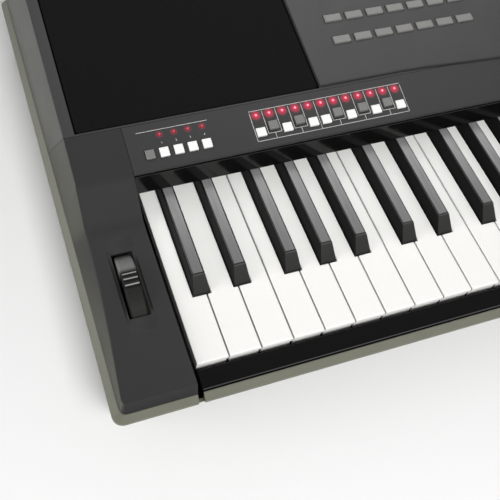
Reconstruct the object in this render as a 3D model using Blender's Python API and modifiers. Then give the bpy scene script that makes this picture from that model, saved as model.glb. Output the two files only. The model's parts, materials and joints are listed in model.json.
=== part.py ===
"""Portable sixty-one key keyboard, built as separate pieces in metres, +Z up.

The datum empty sits at the middle of the white keys' front edge, at the height of their tops.
Every size below is measured from that datum: +X towards the treble, +Y towards the back.
"""
import math

import bmesh
import bpy
from mathutils import Matrix, Vector

MM = 0.001

# Keyboard layout
PITCH = 23.5 * MM
OCTAVE_NATURALS = 7
OCTAVES = 5
KEY_GAP = 1.0 * MM
NATURAL_LENGTH = 203.0 * MM
NATURAL_TOP = 2.2 * MM
NATURAL_DEPTH = 14.0 * MM
LIP_HEIGHT = 3.7 * MM
LIP_REACH = 2.0 * MM
SKIRT_INSET = 0.4 * MM
KEY_WALL = 2.0 * MM
KEY_EDGE = 0.5 * MM
SHARP_FRONT = 50.9 * MM
SHARP_FOOT = 12.5 * MM
SHARP_CROWN = 9.6 * MM
SHARP_HEIGHT = 12.0 * MM
SHARP_SLOPE = 9.9 * MM
SHARP_HEAD_END = 156.0 * MM
SHARP_LENGTH_END = 216.0 * MM
SHARP_UNDERSIDE = 7.0 * MM
SHARP_TAIL_TOP = 1.0 * MM
SHARP_GAP = 0.6 * MM
SHARP_CENTRES = (19.8 * MM, 50.2 * MM, 89.3 * MM, 117.25 * MM, 145.2 * MM)
NATURAL_PIVOT_Y = 198.0 * MM
SHARP_PIVOT_Y = 211.0 * MM
WEB_LENGTH = 11.0 * MM
WEB_THICKNESS = 5.0 * MM

# Overall case
KEY_TOP_HEIGHT = 72.0 * MM
END_WIDTH = 61.5 * MM
FRONT_REACH = 22.0 * MM
BACK_Y = 403.0 * MM
SEAT_GAP = 0.3 * MM
CASE_WALL = 3.0 * MM
FOOT_HEIGHT = 5.0 * MM
FOOT_RADIUS = 11.0 * MM
FOOT_INSET_X = 90.0 * MM
FOOT_INSET_Y = 62.0 * MM
RIM_DROP = 7.3 * MM
LEDGE_DROP = 11.0 * MM
LIP_DROP = 14.5 * MM
SIDE_LEDGE = 5.0 * MM
FRONT_LEDGE = 3.8 * MM
BACK_LEDGE = 3.7 * MM
FRONT_TUCK = 27.0 * MM
SIDE_TUCK = 6.0 * MM
BACK_TUCK = 3.0 * MM
CORNER_RADIUS = 7.5 * MM
CORNER_STEPS = 6
SLIT_WIDTH = 4.0 * MM
SLIT_DEPTH = 9.0 * MM

# End blocks and deck
BLOCK_GAP = 4.0 * MM
BLOCK_TOP = 5.0 * MM
BLOCK_FRONT = 15.8 * MM
BLOCK_FRONT_RAKE = 2.0 * MM
BLOCK_WALL = 2.6 * MM
DECK_EDGE_FRONT = 54.6 * MM
DECK_EDGE_BACK = 46.3 * MM
DECK_EDGE_FLARE_Y = 104.0 * MM
DECK_ROUND = 1.2 * MM
BLOCK_CORNER = 4.0 * MM
BLOCK_CORNER_STEPS = 4
RAMP_START_Y = 114.0 * MM
RAMP_STEPS = 6
STRIP_Y = 143.0 * MM
STRIP_Z = 30.0 * MM
STRIP_SLOPE = math.radians(15.0)
STRIP_THICKNESS = 2.5 * MM
SEAM_Y = 180.8 * MM
SEAM_RAKE = 0.65
DECK_SLOPE = math.radians(10.0)
RIDGE_Y = 371.0 * MM
BACK_CHAMFER = ((14.0 * MM, 3.0 * MM), (24.0 * MM, 11.0 * MM), (28.0 * MM, 22.0 * MM))
GRILLE_LAND = 1.5 * MM

# Grilles and speakers
GRILLE_WIDTH = 192.5 * MM
GRILLE_LENGTH = 150.0 * MM
GRILLE_OUTER = 36.8 * MM
GRILLE_GAP = 0.8 * MM
GRILLE_THICKNESS = 2.4 * MM
GRILLE_CORNER = 3.0 * MM
SPEAKER_RADIUS = 60.0 * MM
SPEAKER_DEPTH = 26.0 * MM
MAGNET_RADIUS = 26.0 * MM

# Pitch wheel
WHEEL_RADIUS = 36.0 * MM
WHEEL_WIDTH = 12.0 * MM
WHEEL_RISE = 9.0 * MM
WHEEL_Y = 70.0 * MM
WHEEL_REACH = 26.4 * MM
WHEEL_AXLE = 3.0 * MM
WHEEL_STEPS = 32
RIB_ANGLES = (-4.3, 2.2, 9.6)
RIB_RADIUS = 1.1 * MM
SLOT_WIDTH = 15.2 * MM
SLOT_LENGTH = 54.0 * MM
RECESS_WIDTH = 20.0 * MM
RECESS_LENGTH = 84.0 * MM
RECESS_DEPTH = 1.4 * MM
RECESS_STEPS = 16
BRACKET_PLATE = 2.0 * MM
BRACKET_GAP = 0.8 * MM
BRACKET_LENGTH = 30.0 * MM

# Control strip
BUTTON_RISE = 1.6 * MM
BUTTON_GAP = 0.45 * MM
BUTTON_TRAVEL = 1.0 * MM
BUTTON_DEPTH = 4.6 * MM
WEB_PLATE = 1.2 * MM
SMALL_BUTTON = (7.1 * MM, 7.3 * MM)
MEMORY_CENTRES = (11.6 * MM, 22.4 * MM, 33.5 * MM, 44.3 * MM, 55.4 * MM)
MEMORY_S = 13.2 * MM
SCALE_FIRST = 98.6 * MM
SCALE_PITCH = 10.76 * MM
SCALE_BUTTON = (7.6 * MM, 7.0 * MM)
SCALE_NATURAL_S = 13.4 * MM
SCALE_SHARP_S = 17.0 * MM
SCALE_SHARP_STEPS = (1, 3, 6, 8, 10)
SCALE_NATURAL_STEPS = (0, 2, 4, 5, 7, 9, 11)
LAMP_S = 28.0 * MM
LAMP_RADIUS = 1.3 * MM
TRANSPORT_FIRST = 470.0 * MM
TRANSPORT_PITCH = 30.0 * MM
TRANSPORT_COUNT = 10
TRANSPORT_BUTTON = (22.0 * MM, 9.0 * MM)
TRANSPORT_S = 18.0 * MM

# Centre panel
PANEL_MARGIN = 1.3 * MM
PANEL_REST = 8.0 * MM
PANEL_START = 0.9 * MM
PANEL_END = 186.0 * MM
PANEL_BULGE = 4.6 * MM
PANEL_BULGE_FROM = 195.0 * MM
PANEL_BULGE_TO = 95.0 * MM
PANEL_THICKNESS = 1.8 * MM
DISPLAY_WIDTH = 138.0 * MM
DISPLAY_LENGTH = 84.0 * MM
DISPLAY_S = 108.0 * MM
DISPLAY_DEPTH = 9.0 * MM
DISPLAY_BUTTON = (11.0 * MM, 6.0 * MM)
DISPLAY_ROWS = 4
DISPLAY_ROW_PITCH = 17.0 * MM
BANK_BUTTON = (15.0 * MM, 7.0 * MM)
BANK_PITCH = 19.0 * MM
BANK_ROW_PITCH = 22.0 * MM
BANK_COLUMNS = 7
BANK_ROWS = 2
BANK_INSET = 90.0 * MM
BANK_S = 40.0 * MM
DIAL_RADIUS = 22.0 * MM
DIAL_HEIGHT = 7.0 * MM
DIAL_INSET = 116.0 * MM
DIAL_S = 128.0 * MM
DIAL_SHAFT = 4.0 * MM
KNOB_RADIUS = 9.0 * MM
KNOB_HEIGHT = 9.0 * MM
KNOB_INSET = 38.0 * MM
KNOB_S = 128.0 * MM
KNOB_SHAFT = 3.5 * MM
POWER_RADIUS = 5.0 * MM
POWER_INSET = 76.0 * MM

# Inner frame
FRAME_FLOOR = 42.0 * MM
FRAME_PLATE = 2.5 * MM
STOP_HEIGHT = 27.0 * MM
FELT_THICKNESS = 1.6 * MM
RIDGE_WIDTH = 1.6 * MM
BOARD_THICKNESS = 1.6 * MM

# Rear sockets
JACK_X = 60.0 * MM
JACK_PITCH = 24.0 * MM
JACK_COUNT = 4
JACK_RADIUS = 3.4 * MM
JACK_DEPTH = 18.0 * MM
JACK_BODY = 14.0 * MM
JACK_DROP = 30.0 * MM
PORT_SIZE = (12.2 * MM, 11.0 * MM)
JACK_PLATE_HEIGHT = 26.0 * MM
JACK_PLATE_THICKNESS = 2.4 * MM

# Boards
MAIN_BOARD = (300.0 * MM, 115.0 * MM)
MAIN_BOARD_Y = 312.0 * MM
CONTACT_BOARD_Y = 85.0 * MM
CONTACT_BOARD_LENGTH = 50.0 * MM
CONTACT_BOARD_INSET = 8.0 * MM
PANEL_BOARD_START = 8.0 * MM
PANEL_BOARD_LENGTH = 25.0 * MM
CHIPS = (
    (-90.0 * MM, -12.0 * MM, 14.0 * MM, 3.0 * MM),
    (-30.0 * MM, 8.0 * MM, 18.0 * MM, 3.0 * MM),
    (40.0 * MM, -12.0 * MM, 14.0 * MM, 3.0 * MM),
    (100.0 * MM, 18.0 * MM, 10.0 * MM, 16.0 * MM),
    (120.0 * MM, -22.0 * MM, 8.0 * MM, 14.0 * MM),
)

NATURAL_COUNT = OCTAVE_NATURALS * OCTAVES + 1
HALF_KEYS = NATURAL_COUNT * PITCH / 2
PANEL_HALF = HALF_KEYS + GRILLE_OUTER - GRILLE_WIDTH - PANEL_MARGIN
HALF_WIDTH = HALF_KEYS + END_WIDTH
DATUM_Y = FRONT_REACH - (BACK_Y + FRONT_REACH) / 2
STRIP_REACH = (SEAM_Y - STRIP_Y) / math.cos(STRIP_SLOPE)
SEAM_Z = STRIP_Z + (SEAM_Y - STRIP_Y) * math.tan(STRIP_SLOPE)
CASE_FLOOR_Z = FOOT_HEIGHT - KEY_TOP_HEIGHT
NOTE_NAMES = ("c", "d", "e", "f", "g", "a", "b")
SHARP_NAMES = ("c_sharp", "d_sharp", "f_sharp", "g_sharp", "a_sharp")

MATERIALS = {
    "case": ((0.19, 0.188, 0.15), 0.55, 0.0),
    "deck": ((0.034, 0.034, 0.035), 0.5, 0.0),
    "gloss_black": ((0.008, 0.008, 0.008), 0.15, 0.0),
    "grille": ((0.008, 0.008, 0.008), 0.8, 0.0),
    "natural": ((0.9, 0.9, 0.86), 0.3, 0.0),
    "sharp": ((0.014, 0.014, 0.014), 0.35, 0.0),
    "wheel": ((0.03, 0.03, 0.03), 0.5, 0.0),
    "white_button": ((0.88, 0.88, 0.86), 0.4, 0.0),
    "grey_button": ((0.2, 0.2, 0.19), 0.5, 0.0),
    "display": ((0.01, 0.012, 0.02), 0.1, 0.0),
    "steel": ((0.5, 0.5, 0.5), 0.35, 1.0),
    "board": ((0.02, 0.16, 0.06), 0.5, 0.0),
    "felt": ((0.03, 0.03, 0.03), 0.9, 0.0),
    "foot_rubber": ((0.02, 0.02, 0.02), 0.9, 0.0),
    "cone": ((0.03, 0.03, 0.032), 0.7, 0.0),
}


def new_collection(name):
    """Add a collection to the scene."""
    collection = bpy.data.collections.new(name)
    bpy.context.scene.collection.children.link(collection)
    return collection


def clear_scene():
    """Remove what the start-up file holds."""
    for old in list(bpy.data.objects):
        bpy.data.objects.remove(old, do_unlink=True)


clear_scene()
PARTS = new_collection("portable_keyboard")
CUTTERS = new_collection("cutters")
FINISHES = {}


def finish(slot):
    """Return the Principled material of a slot, made on first use."""
    if slot not in FINISHES:
        colour, roughness, metallic = MATERIALS[slot]
        material = bpy.data.materials.new(slot)
        material.use_nodes = True
        shader = material.node_tree.nodes["Principled BSDF"]
        shader.inputs["Base Color"].default_value = (*colour, 1.0)
        shader.inputs["Roughness"].default_value = roughness
        shader.inputs["Metallic"].default_value = metallic
        FINISHES[slot] = material
    return FINISHES[slot]


def place(name, bm, parent, location, collection):
    """Turn a bmesh into an object on its parent."""
    bmesh.ops.recalc_face_normals(bm, faces=bm.faces)
    mesh = bpy.data.meshes.new(name)
    bm.to_mesh(mesh)
    bm.free()
    piece = bpy.data.objects.new(name, mesh)
    collection.objects.link(piece)
    piece.parent = parent
    piece.location = location
    return piece


def add_part(name, bm, slot, parent, location=(0, 0, 0)):
    """Add one sub-part in its finish."""
    piece = place(name, bm, parent, location, PARTS)
    piece.data.materials.append(finish(slot))
    return piece


def add_boolean(piece, bm, operation, self_overlap=False):
    """Cut or join a piece with a hidden shape that shares its place."""
    name = f"{piece.name}_{operation.lower()}_{len(piece.modifiers)}"
    tool = place(name, bm, piece.parent, piece.location, CUTTERS)
    tool.hide_render = True
    tool.display_type = "WIRE"
    modifier = piece.modifiers.new(name, "BOOLEAN")
    modifier.operation = operation
    modifier.object = tool
    modifier.use_self = self_overlap


def cut(piece, bm):
    """Cut a shape out of a piece."""
    add_boolean(piece, bm, "DIFFERENCE")


def fuse(piece, bm):
    """Join a shape to a piece."""
    add_boolean(piece, bm, "UNION")


def add_empty(name, parent, location, tilt=0.0):
    """Add a datum that carries other pieces."""
    empty = bpy.data.objects.new(name, None)
    PARTS.objects.link(empty)
    empty.parent = parent
    empty.location = location
    empty.rotation_euler.x = tilt
    return empty


def smooth(piece, angle=35.0):
    """Shade a round piece smooth, with its hard edges kept."""
    piece.data.shade_smooth()
    piece.data.set_sharp_from_angle(angle=math.radians(angle))


def add_box(bm, x0, x1, y0, y1, z0, z1):
    """Add a box between two corners."""
    centre = Vector(((x0 + x1) / 2, (y0 + y1) / 2, (z0 + z1) / 2))
    size = Vector((x1 - x0, y1 - y0, z1 - z0))
    matrix = Matrix.Translation(centre) @ Matrix.Diagonal((*size, 1.0))
    bmesh.ops.create_cube(bm, size=1.0, matrix=matrix)


def box(x0, x1, y0, y1, z0, z1):
    """Return a bmesh that holds one box."""
    bm = bmesh.new()
    add_box(bm, x0, x1, y0, y1, z0, z1)
    return bm


def add_cylinder(bm, radius, length, matrix, steps=16, tip=None):
    """Add a cylinder or a cone whose middle is at the matrix."""
    bmesh.ops.create_cone(
        bm,
        cap_ends=True,
        segments=steps,
        radius1=radius,
        radius2=radius if tip is None else tip,
        depth=length,
        matrix=matrix,
    )


def add_stack(bm, sections):
    """Extrude one outline through a list of sections with as many points each."""
    verts = [bm.verts.new(point) for point in sections[0]]
    face = bm.faces.new(verts)
    for number, section in enumerate(sections[1:]):
        place_of = {tuple(vert.co): index for index, vert in enumerate(verts)}
        grown = bmesh.ops.extrude_face_region(bm, geom=[face])["geom"]
        if number:
            bm.faces.remove(face)
        face = next(item for item in grown if isinstance(item, bmesh.types.BMFace))
        fresh = [None] * len(verts)
        for vert in face.verts:
            fresh[place_of[tuple(vert.co)]] = vert
        for vert, point in zip(fresh, section):
            vert.co = point
        verts = fresh


def stack(sections):
    """Return a bmesh of one stacked body."""
    bm = bmesh.new()
    add_stack(bm, sections)
    return bm


def profile_bar(profile, x0, x1):
    """Extrude a closed (y, z) outline along X."""
    return stack([[(x, y, z) for y, z in profile] for x in (x0, x1)])


def rounded_outline(x0, x1, y0, y1, radius, steps, z):
    """Return a rectangle with round corners as points at height z."""
    points = []
    corners = ((x1, y1, 0), (x0, y1, 90), (x0, y0, 180), (x1, y0, 270))
    for x, y, start in corners:
        centre_x = x - math.copysign(radius, x - (x0 + x1) / 2)
        centre_y = y - math.copysign(radius, y - (y0 + y1) / 2)
        for step in range(steps + 1):
            turn = math.radians(start + 90 * step / steps)
            points.append((centre_x + radius * math.cos(turn), centre_y + radius * math.sin(turn), z))
    return points


DATUM = add_empty("keyboard_datum", None, (0, DATUM_Y, KEY_TOP_HEIGHT))
STRIP_PLANE = add_empty("strip_plane", DATUM, (0, STRIP_Y, STRIP_Z), STRIP_SLOPE)
DECK_PLANE = add_empty("deck_plane", DATUM, (0, SEAM_Y + GRILLE_LAND, SEAM_Z), DECK_SLOPE)


def deck_height(y):
    """Return the height of the sloping rear deck at y."""
    return SEAM_Z + (y - SEAM_Y) * math.tan(DECK_SLOPE)


# Keys
def natural_outline(left_cut, right_cut, side, front, shoulder, z):
    """Return a natural's outline from above; a cut is the width lost beside a sharp."""
    x0 = KEY_GAP / 2 + side
    x1 = PITCH - KEY_GAP / 2 - side
    left = left_cut + side if left_cut else x0
    right = PITCH - right_cut - side if right_cut else x1
    neck = SHARP_FRONT - SHARP_GAP - shoulder
    end = NATURAL_LENGTH - side
    points = [(x0, front), (x1, front)]
    points += [(x1, neck), (right, neck)] if right_cut else []
    points += [(right, end), (left, end)]
    points += [(left, neck), (x0, neck)] if left_cut else []
    return [(x, y, z) for x, y in points]


def natural_cuts(step, last=False):
    """Return how much of the natural's tail the sharps on each side take."""
    half = SHARP_FOOT / 2 + SHARP_GAP
    low = step * PITCH
    high = low + PITCH
    left = 0.0
    right = 0.0
    for centre in () if last else SHARP_CENTRES:
        if centre - half < low < centre + half:
            left = centre + half - low
        if centre - half < high < centre + half:
            right = high - (centre - half)
    return left, right


def add_natural(bm, step, offset, last=False):
    """Add one white key, open below, with its lip, skirt and tail."""
    left, right = natural_cuts(step, last)
    inner = SKIRT_INSET + KEY_WALL
    rows = (
        (inner, LIP_REACH + KEY_WALL, -NATURAL_TOP),
        (inner, LIP_REACH + KEY_WALL, -NATURAL_DEPTH),
        (SKIRT_INSET, LIP_REACH, -NATURAL_DEPTH),
        (SKIRT_INSET, LIP_REACH, -LIP_HEIGHT),
        (0.0, 0.0, -LIP_HEIGHT),
        (0.0, 0.0, -KEY_EDGE),
        (KEY_EDGE, KEY_EDGE, 0.0),
    )
    sections = []
    for side, front, z in rows:
        outline = natural_outline(left, right, side, front, side, z)
        sections.append([(x + offset, y, z) for x, y, z in outline])
    add_stack(bm, sections)


def add_sharp(bm, centre):
    """Add one black key with its sloping front, crown and tail."""
    foot = SHARP_FOOT / 2
    crown = SHARP_CROWN / 2
    wall = KEY_WALL
    top_front = SHARP_FRONT + SHARP_SLOPE
    bevel = 0.9 * MM
    rows = (
        (crown - wall, top_front + wall, SHARP_HEAD_END - wall, SHARP_HEIGHT - 2 * wall),
        (foot - wall, SHARP_FRONT + wall, SHARP_HEAD_END - wall, -SHARP_UNDERSIDE),
        (foot, SHARP_FRONT, SHARP_LENGTH_END, -SHARP_UNDERSIDE),
        (foot, SHARP_FRONT, SHARP_LENGTH_END, -SHARP_TAIL_TOP),
        (foot, SHARP_FRONT, SHARP_HEAD_END, -SHARP_TAIL_TOP + 0.4 * MM),
        (foot - 0.1 * MM, SHARP_FRONT + 0.3 * MM, SHARP_HEAD_END, 1.0 * MM),
        (crown, top_front - bevel, SHARP_HEAD_END, SHARP_HEIGHT - bevel),
        (crown - bevel, top_front + bevel / 2, SHARP_HEAD_END - bevel, SHARP_HEIGHT),
    )
    sections = []
    for half, y0, y1, z in rows:
        x0 = centre - half
        x1 = centre + half
        sections.append([(x0, y0, z), (x1, y0, z), (x1, y1, z), (x0, y1, z)])
    add_stack(bm, sections)


def octave_x(octave):
    """Return the left edge of an octave."""
    return -HALF_KEYS + octave * OCTAVE_NATURALS * PITCH


def hinge_place(x, pivot_y, drop):
    """Return a key's hinge point, which is its object's origin."""
    return Vector((x, pivot_y, -drop))


def moved(bm, shift):
    """Move a bmesh so that its hinge point is its origin."""
    bmesh.ops.translate(bm, vec=-shift, verts=bm.verts)
    return bm


def build_single_keys():
    """Hinge each key of the lowest octave by itself."""
    origin = octave_x(0)
    for step, note in enumerate(NOTE_NAMES):
        hinge = hinge_place(origin + (step + 0.5) * PITCH, NATURAL_PIVOT_Y, NATURAL_DEPTH)
        bm = bmesh.new()
        add_natural(bm, step, origin + step * PITCH)
        add_part(f"key_1_{note}", moved(bm, hinge), "natural", DATUM, hinge)
    for centre, note in zip(SHARP_CENTRES, SHARP_NAMES):
        hinge = hinge_place(origin + centre, SHARP_PIVOT_Y, SHARP_UNDERSIDE)
        bm = bmesh.new()
        add_sharp(bm, origin + centre)
        add_part(f"key_1_{note}", moved(bm, hinge), "sharp", DATUM, hinge)


def build_key_combs():
    """Mould the other octaves as combs, each on its own hinge bar."""
    for octave in range(1, OCTAVES):
        origin = octave_x(octave)
        extra = 1 if octave == OCTAVES - 1 else 0
        middle = origin + OCTAVE_NATURALS * PITCH / 2
        hinge = hinge_place(middle, NATURAL_PIVOT_Y, NATURAL_DEPTH)
        bm = bmesh.new()
        for step in range(OCTAVE_NATURALS + extra):
            add_natural(bm, step, origin + step * PITCH, last=step == OCTAVE_NATURALS)
        comb = add_part(f"naturals_comb_{octave + 1}", moved(bm, hinge), "natural", DATUM, hinge)
        bar_end = origin + (OCTAVE_NATURALS + extra) * PITCH - KEY_GAP / 2 - SKIRT_INSET - KEY_WALL / 2
        bar = box(
            origin + KEY_GAP / 2 + SKIRT_INSET + KEY_WALL / 2,
            bar_end,
            NATURAL_LENGTH - SKIRT_INSET - KEY_WALL / 2 - WEB_LENGTH,
            NATURAL_LENGTH - SKIRT_INSET - KEY_WALL / 2,
            -NATURAL_DEPTH,
            -NATURAL_DEPTH + WEB_THICKNESS,
        )
        fuse(comb, moved(bar, hinge))
        hinge = hinge_place(middle, SHARP_PIVOT_Y, SHARP_UNDERSIDE)
        bm = bmesh.new()
        for centre in SHARP_CENTRES:
            add_sharp(bm, origin + centre)
        comb = add_part(f"sharps_comb_{octave + 1}", moved(bm, hinge), "sharp", DATUM, hinge)
        bar = box(
            origin + SHARP_CENTRES[0] - SHARP_FOOT / 4,
            origin + SHARP_CENTRES[-1] + SHARP_FOOT / 4,
            SHARP_LENGTH_END - WEB_LENGTH + KEY_WALL / 2,
            SHARP_LENGTH_END - KEY_WALL / 2,
            -SHARP_UNDERSIDE + 0.5 * MM,
            -SHARP_TAIL_TOP - 0.5 * MM,
        )
        fuse(comb, moved(bar, hinge))


# Case
def case_ring(front, side, back, z, radius):
    """Return the case outline at height z, drawn in by the given insets."""
    half = HALF_WIDTH - side
    return rounded_outline(-half, half, -FRONT_REACH + front, BACK_Y - back, radius, CORNER_STEPS, z)


def build_lower_case():
    """Build the tray with its ledged rim, tucked-in front and key slits."""
    floor = CASE_FLOOR_Z
    knee = floor + 7.0 * MM
    lip = 2.0 * MM
    r = CORNER_RADIUS
    w = CASE_WALL
    knee_share = 0.86
    sections = (
        case_ring(FRONT_TUCK, SIDE_TUCK, BACK_TUCK, floor, r),
        case_ring(FRONT_TUCK * knee_share, SIDE_TUCK * 0.7, BACK_TUCK * 0.5, knee, r),
        case_ring(lip, lip / 2, 0, -LIP_DROP - lip, r),
        case_ring(0, 0, 0, -LIP_DROP, r),
        case_ring(0, 0, 0, -LEDGE_DROP, r),
        case_ring(FRONT_LEDGE, SIDE_LEDGE, BACK_LEDGE, -RIM_DROP, r - 3 * MM),
        case_ring(FRONT_LEDGE + 1.3 * MM, SIDE_LEDGE + 2 * MM, BACK_LEDGE + 2 * MM, -RIM_DROP, r - 4 * MM),
        case_ring(lip + w, SIDE_LEDGE + 2 * MM, BACK_LEDGE + 2 * MM, -LIP_DROP - lip, r - 4 * MM),
        case_ring(FRONT_TUCK * knee_share + w, SIDE_TUCK * 0.7 + w, BACK_LEDGE + 2 * MM, knee, r - 4 * MM),
        case_ring(FRONT_TUCK + w, SIDE_TUCK + w, BACK_LEDGE + 2 * MM, floor + w, r - 4 * MM),
    )
    case = add_part("lower_case", stack(sections), "case", DATUM)
    slits = bmesh.new()
    for side in (-1, 1):
        ends = sorted((side * HALF_KEYS, side * (HALF_KEYS + SLIT_WIDTH)))
        add_box(slits, *ends, -FRONT_REACH - 1 * MM, -FRONT_REACH + SLIT_DEPTH, -LIP_DROP - lip, 0.0)
    cut(case, slits)
    window = box(
        JACK_X - JACK_PITCH,
        JACK_X + JACK_PITCH * (JACK_COUNT + 1),
        BACK_Y - 12 * MM,
        BACK_Y + 2 * MM,
        -JACK_DROP - JACK_PLATE_HEIGHT / 2,
        -JACK_DROP + JACK_PLATE_HEIGHT / 2,
    )
    cut(case, window)


def build_feet():
    """Add the four rubber feet under the case."""
    steps = 20
    for name_y, y in (("front", FOOT_INSET_Y), ("rear", BACK_Y - FOOT_INSET_Y)):
        for name_x, side in (("left", -1), ("right", 1)):
            bm = bmesh.new()
            height = FOOT_HEIGHT - SEAT_GAP
            lift = Matrix.Translation((0, 0, height / 2))
            add_cylinder(bm, FOOT_RADIUS - 1.5 * MM, height, lift, steps, FOOT_RADIUS)
            place_at = (side * (HALF_WIDTH - FOOT_INSET_X), y, -KEY_TOP_HEIGHT)
            smooth(add_part(f"foot_{name_y}_{name_x}", bm, "foot_rubber", DATUM, place_at))


def block_edge(y):
    """Return how far out the deck edge lies, which flares towards the player."""
    share = max(0.0, min(1.0, (DECK_EDGE_FLARE_Y - y) / (DECK_EDGE_FLARE_Y + BLOCK_FRONT)))
    return DECK_EDGE_BACK + (DECK_EDGE_FRONT - DECK_EDGE_BACK) * share**1.5


def side_points(edge, top, out, bottom, y_of, wall):
    """Return the round deck edge and the wall below it, from the deck outwards."""
    corner = Vector((edge - wall, top - wall))
    foot = Vector((out - wall, bottom))
    down = (foot - corner).normalized()
    inward = Vector((-1.0, 0.0))
    r = DECK_ROUND
    marks = (corner + inward * r, corner + (inward + down) * r * 0.32, corner + down * r, foot)
    return [(a, y_of(z), z) for a, z in marks]


def block_sections(side, wall, front_inset):
    """Return the end block's sections from front to back."""
    bottom = -RIM_DROP + SEAT_GAP - (6 * MM if wall else 0.0)
    out = END_WIDTH - SIDE_LEDGE - 0.3 * MM
    stations = []
    for step in range(BLOCK_CORNER_STEPS + 1):
        turn = math.pi / 2 * step / BLOCK_CORNER_STEPS
        y = -BLOCK_FRONT + BLOCK_CORNER * (1 - math.cos(turn))
        stations.append((y, BLOCK_TOP, BLOCK_CORNER * (1 - math.sin(turn))))
    front_count = len(stations)
    stations += [(y, BLOCK_TOP, 0.0) for y in (35 * MM, 72 * MM, DECK_EDGE_FLARE_Y)]
    crest_y = STRIP_Y + 2.0 * MM
    crest_z = STRIP_Z + 2.0 * MM * math.tan(STRIP_SLOPE)
    for step in range(RAMP_STEPS + 1):
        share = step / RAMP_STEPS
        rise = share * share * (2 - share)
        y = RAMP_START_Y + (crest_y - RAMP_START_Y) * share
        stations.append((y, BLOCK_TOP + (crest_z - BLOCK_TOP) * rise, 0.0))
    stations.append((SEAM_Y - SEAT_GAP, SEAM_Z, 0.0))
    sections = []
    last = len(stations) - 1
    for index, (y, top, corner) in enumerate(stations):
        rake = 0.0
        if index < front_count:
            rake = BLOCK_FRONT_RAKE / (top - bottom) * (1 - index / front_count)
            y += front_inset
        if index == last:
            rake = -SEAM_RAKE
            y += front_inset * 3

        def y_of(z, y=y, top=top, rake=rake):
            return y + (z - top) * rake

        near = (BLOCK_GAP + wall, y_of(bottom), bottom)
        near_top = (BLOCK_GAP + wall, y_of(top - wall), top - wall)
        outer = side_points(block_edge(y) - corner, top, out - corner, bottom, y_of, wall)
        points = [near, near_top, *outer]
        sections.append([(side * (HALF_KEYS + a), b, c) for a, b, c in points])
    return sections


def wheel_recess(x):
    """Return the cutter of the shallow scoop along the pitch wheel; its floor is an arc."""
    half = RECESS_LENGTH / 2
    radius = (half * half + RECESS_DEPTH * RECESS_DEPTH) / (2 * RECESS_DEPTH)
    reach = half + 2 * MM
    above = BLOCK_TOP + 2 * MM
    outline = [(WHEEL_Y + reach, above), (WHEEL_Y - reach, above)]
    for step in range(RECESS_STEPS + 1):
        along = reach * (2 * step / RECESS_STEPS - 1)
        rise = radius - math.sqrt(radius * radius - along * along)
        outline.append((WHEEL_Y + along, BLOCK_TOP - RECESS_DEPTH + rise))
    return profile_bar(outline, x - RECESS_WIDTH / 2, x + RECESS_WIDTH / 2)


def build_end_blocks():
    """Build both end blocks; the left one has the wheel's recess and slot."""
    for name, side in (("left", -1), ("right", 1)):
        block = add_part(f"{name}_end_block", stack(block_sections(side, 0.0, 0.0)), "deck", DATUM)
        cut(block, stack(block_sections(side, BLOCK_WALL, BLOCK_WALL)))
        if side > 0:
            continue
        x = -HALF_KEYS - WHEEL_REACH
        cut(block, wheel_recess(x))
        x0, x1 = x - SLOT_WIDTH / 2, x + SLOT_WIDTH / 2
        y0, y1 = WHEEL_Y - SLOT_LENGTH / 2, WHEEL_Y + SLOT_LENGTH / 2
        cut(block, box(x0, x1, y0, y1, BLOCK_TOP - 3 * BLOCK_WALL, BLOCK_TOP + WHEEL_RISE))


def housing_sections(wall):
    """Return the rear housing's sections from the seam to the back wall."""
    bottom = -RIM_DROP + SEAT_GAP - (6 * MM if wall else 0.0)
    out = END_WIDTH - SIDE_LEDGE - 0.3 * MM
    ridge = deck_height(RIDGE_Y)
    stations = [(SEAM_Y, SEAM_Z), (RIDGE_Y, ridge)]
    stations += [(RIDGE_Y + run - wall, ridge - drop) for run, drop in BACK_CHAMFER]
    stations[0] = (SEAM_Y - 2 * wall, SEAM_Z - 2 * wall * math.tan(DECK_SLOPE))
    sections = []
    for index, (y, top) in enumerate(stations):
        rake = -SEAM_RAKE if index == 0 else 0.0

        def y_of(z, y=y, top=top, rake=rake):
            return y + (z - top) * rake

        half = side_points(DECK_EDGE_BACK, top, out, bottom, y_of, wall)
        right = [(HALF_KEYS + a, b, c) for a, b, c in half]
        left = [(-x, b, c) for x, b, c in reversed(right)]
        sections.append(left + right)
    return sections


def build_rear_housing():
    """Build the rear housing shell with its grille and panel openings."""
    housing = add_part("rear_housing", stack(housing_sections(0.0)), "deck", DATUM)
    cut(housing, stack(housing_sections(CASE_WALL)))
    openings = bmesh.new()
    edge = HALF_KEYS + GRILLE_OUTER + GRILLE_GAP
    inner = edge - GRILLE_WIDTH - 2 * GRILLE_GAP
    for side in (-1, 1):
        x0, x1 = sorted((side * edge, side * inner))
        add_box(openings, x0, x1, 0.0, GRILLE_LENGTH + 2 * GRILLE_GAP, -12 * MM, 12 * MM)
    add_box(
        openings,
        -PANEL_HALF + PANEL_REST,
        PANEL_HALF - PANEL_REST,
        PANEL_START + PANEL_REST,
        PANEL_END - PANEL_REST,
        -12 * MM,
        12 * MM,
    )
    matrix = Matrix.Translation(DECK_PLANE.location) @ Matrix.Rotation(DECK_SLOPE, 4, "X")
    bmesh.ops.transform(openings, matrix=matrix, verts=openings.verts)
    cut(housing, openings)


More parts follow.
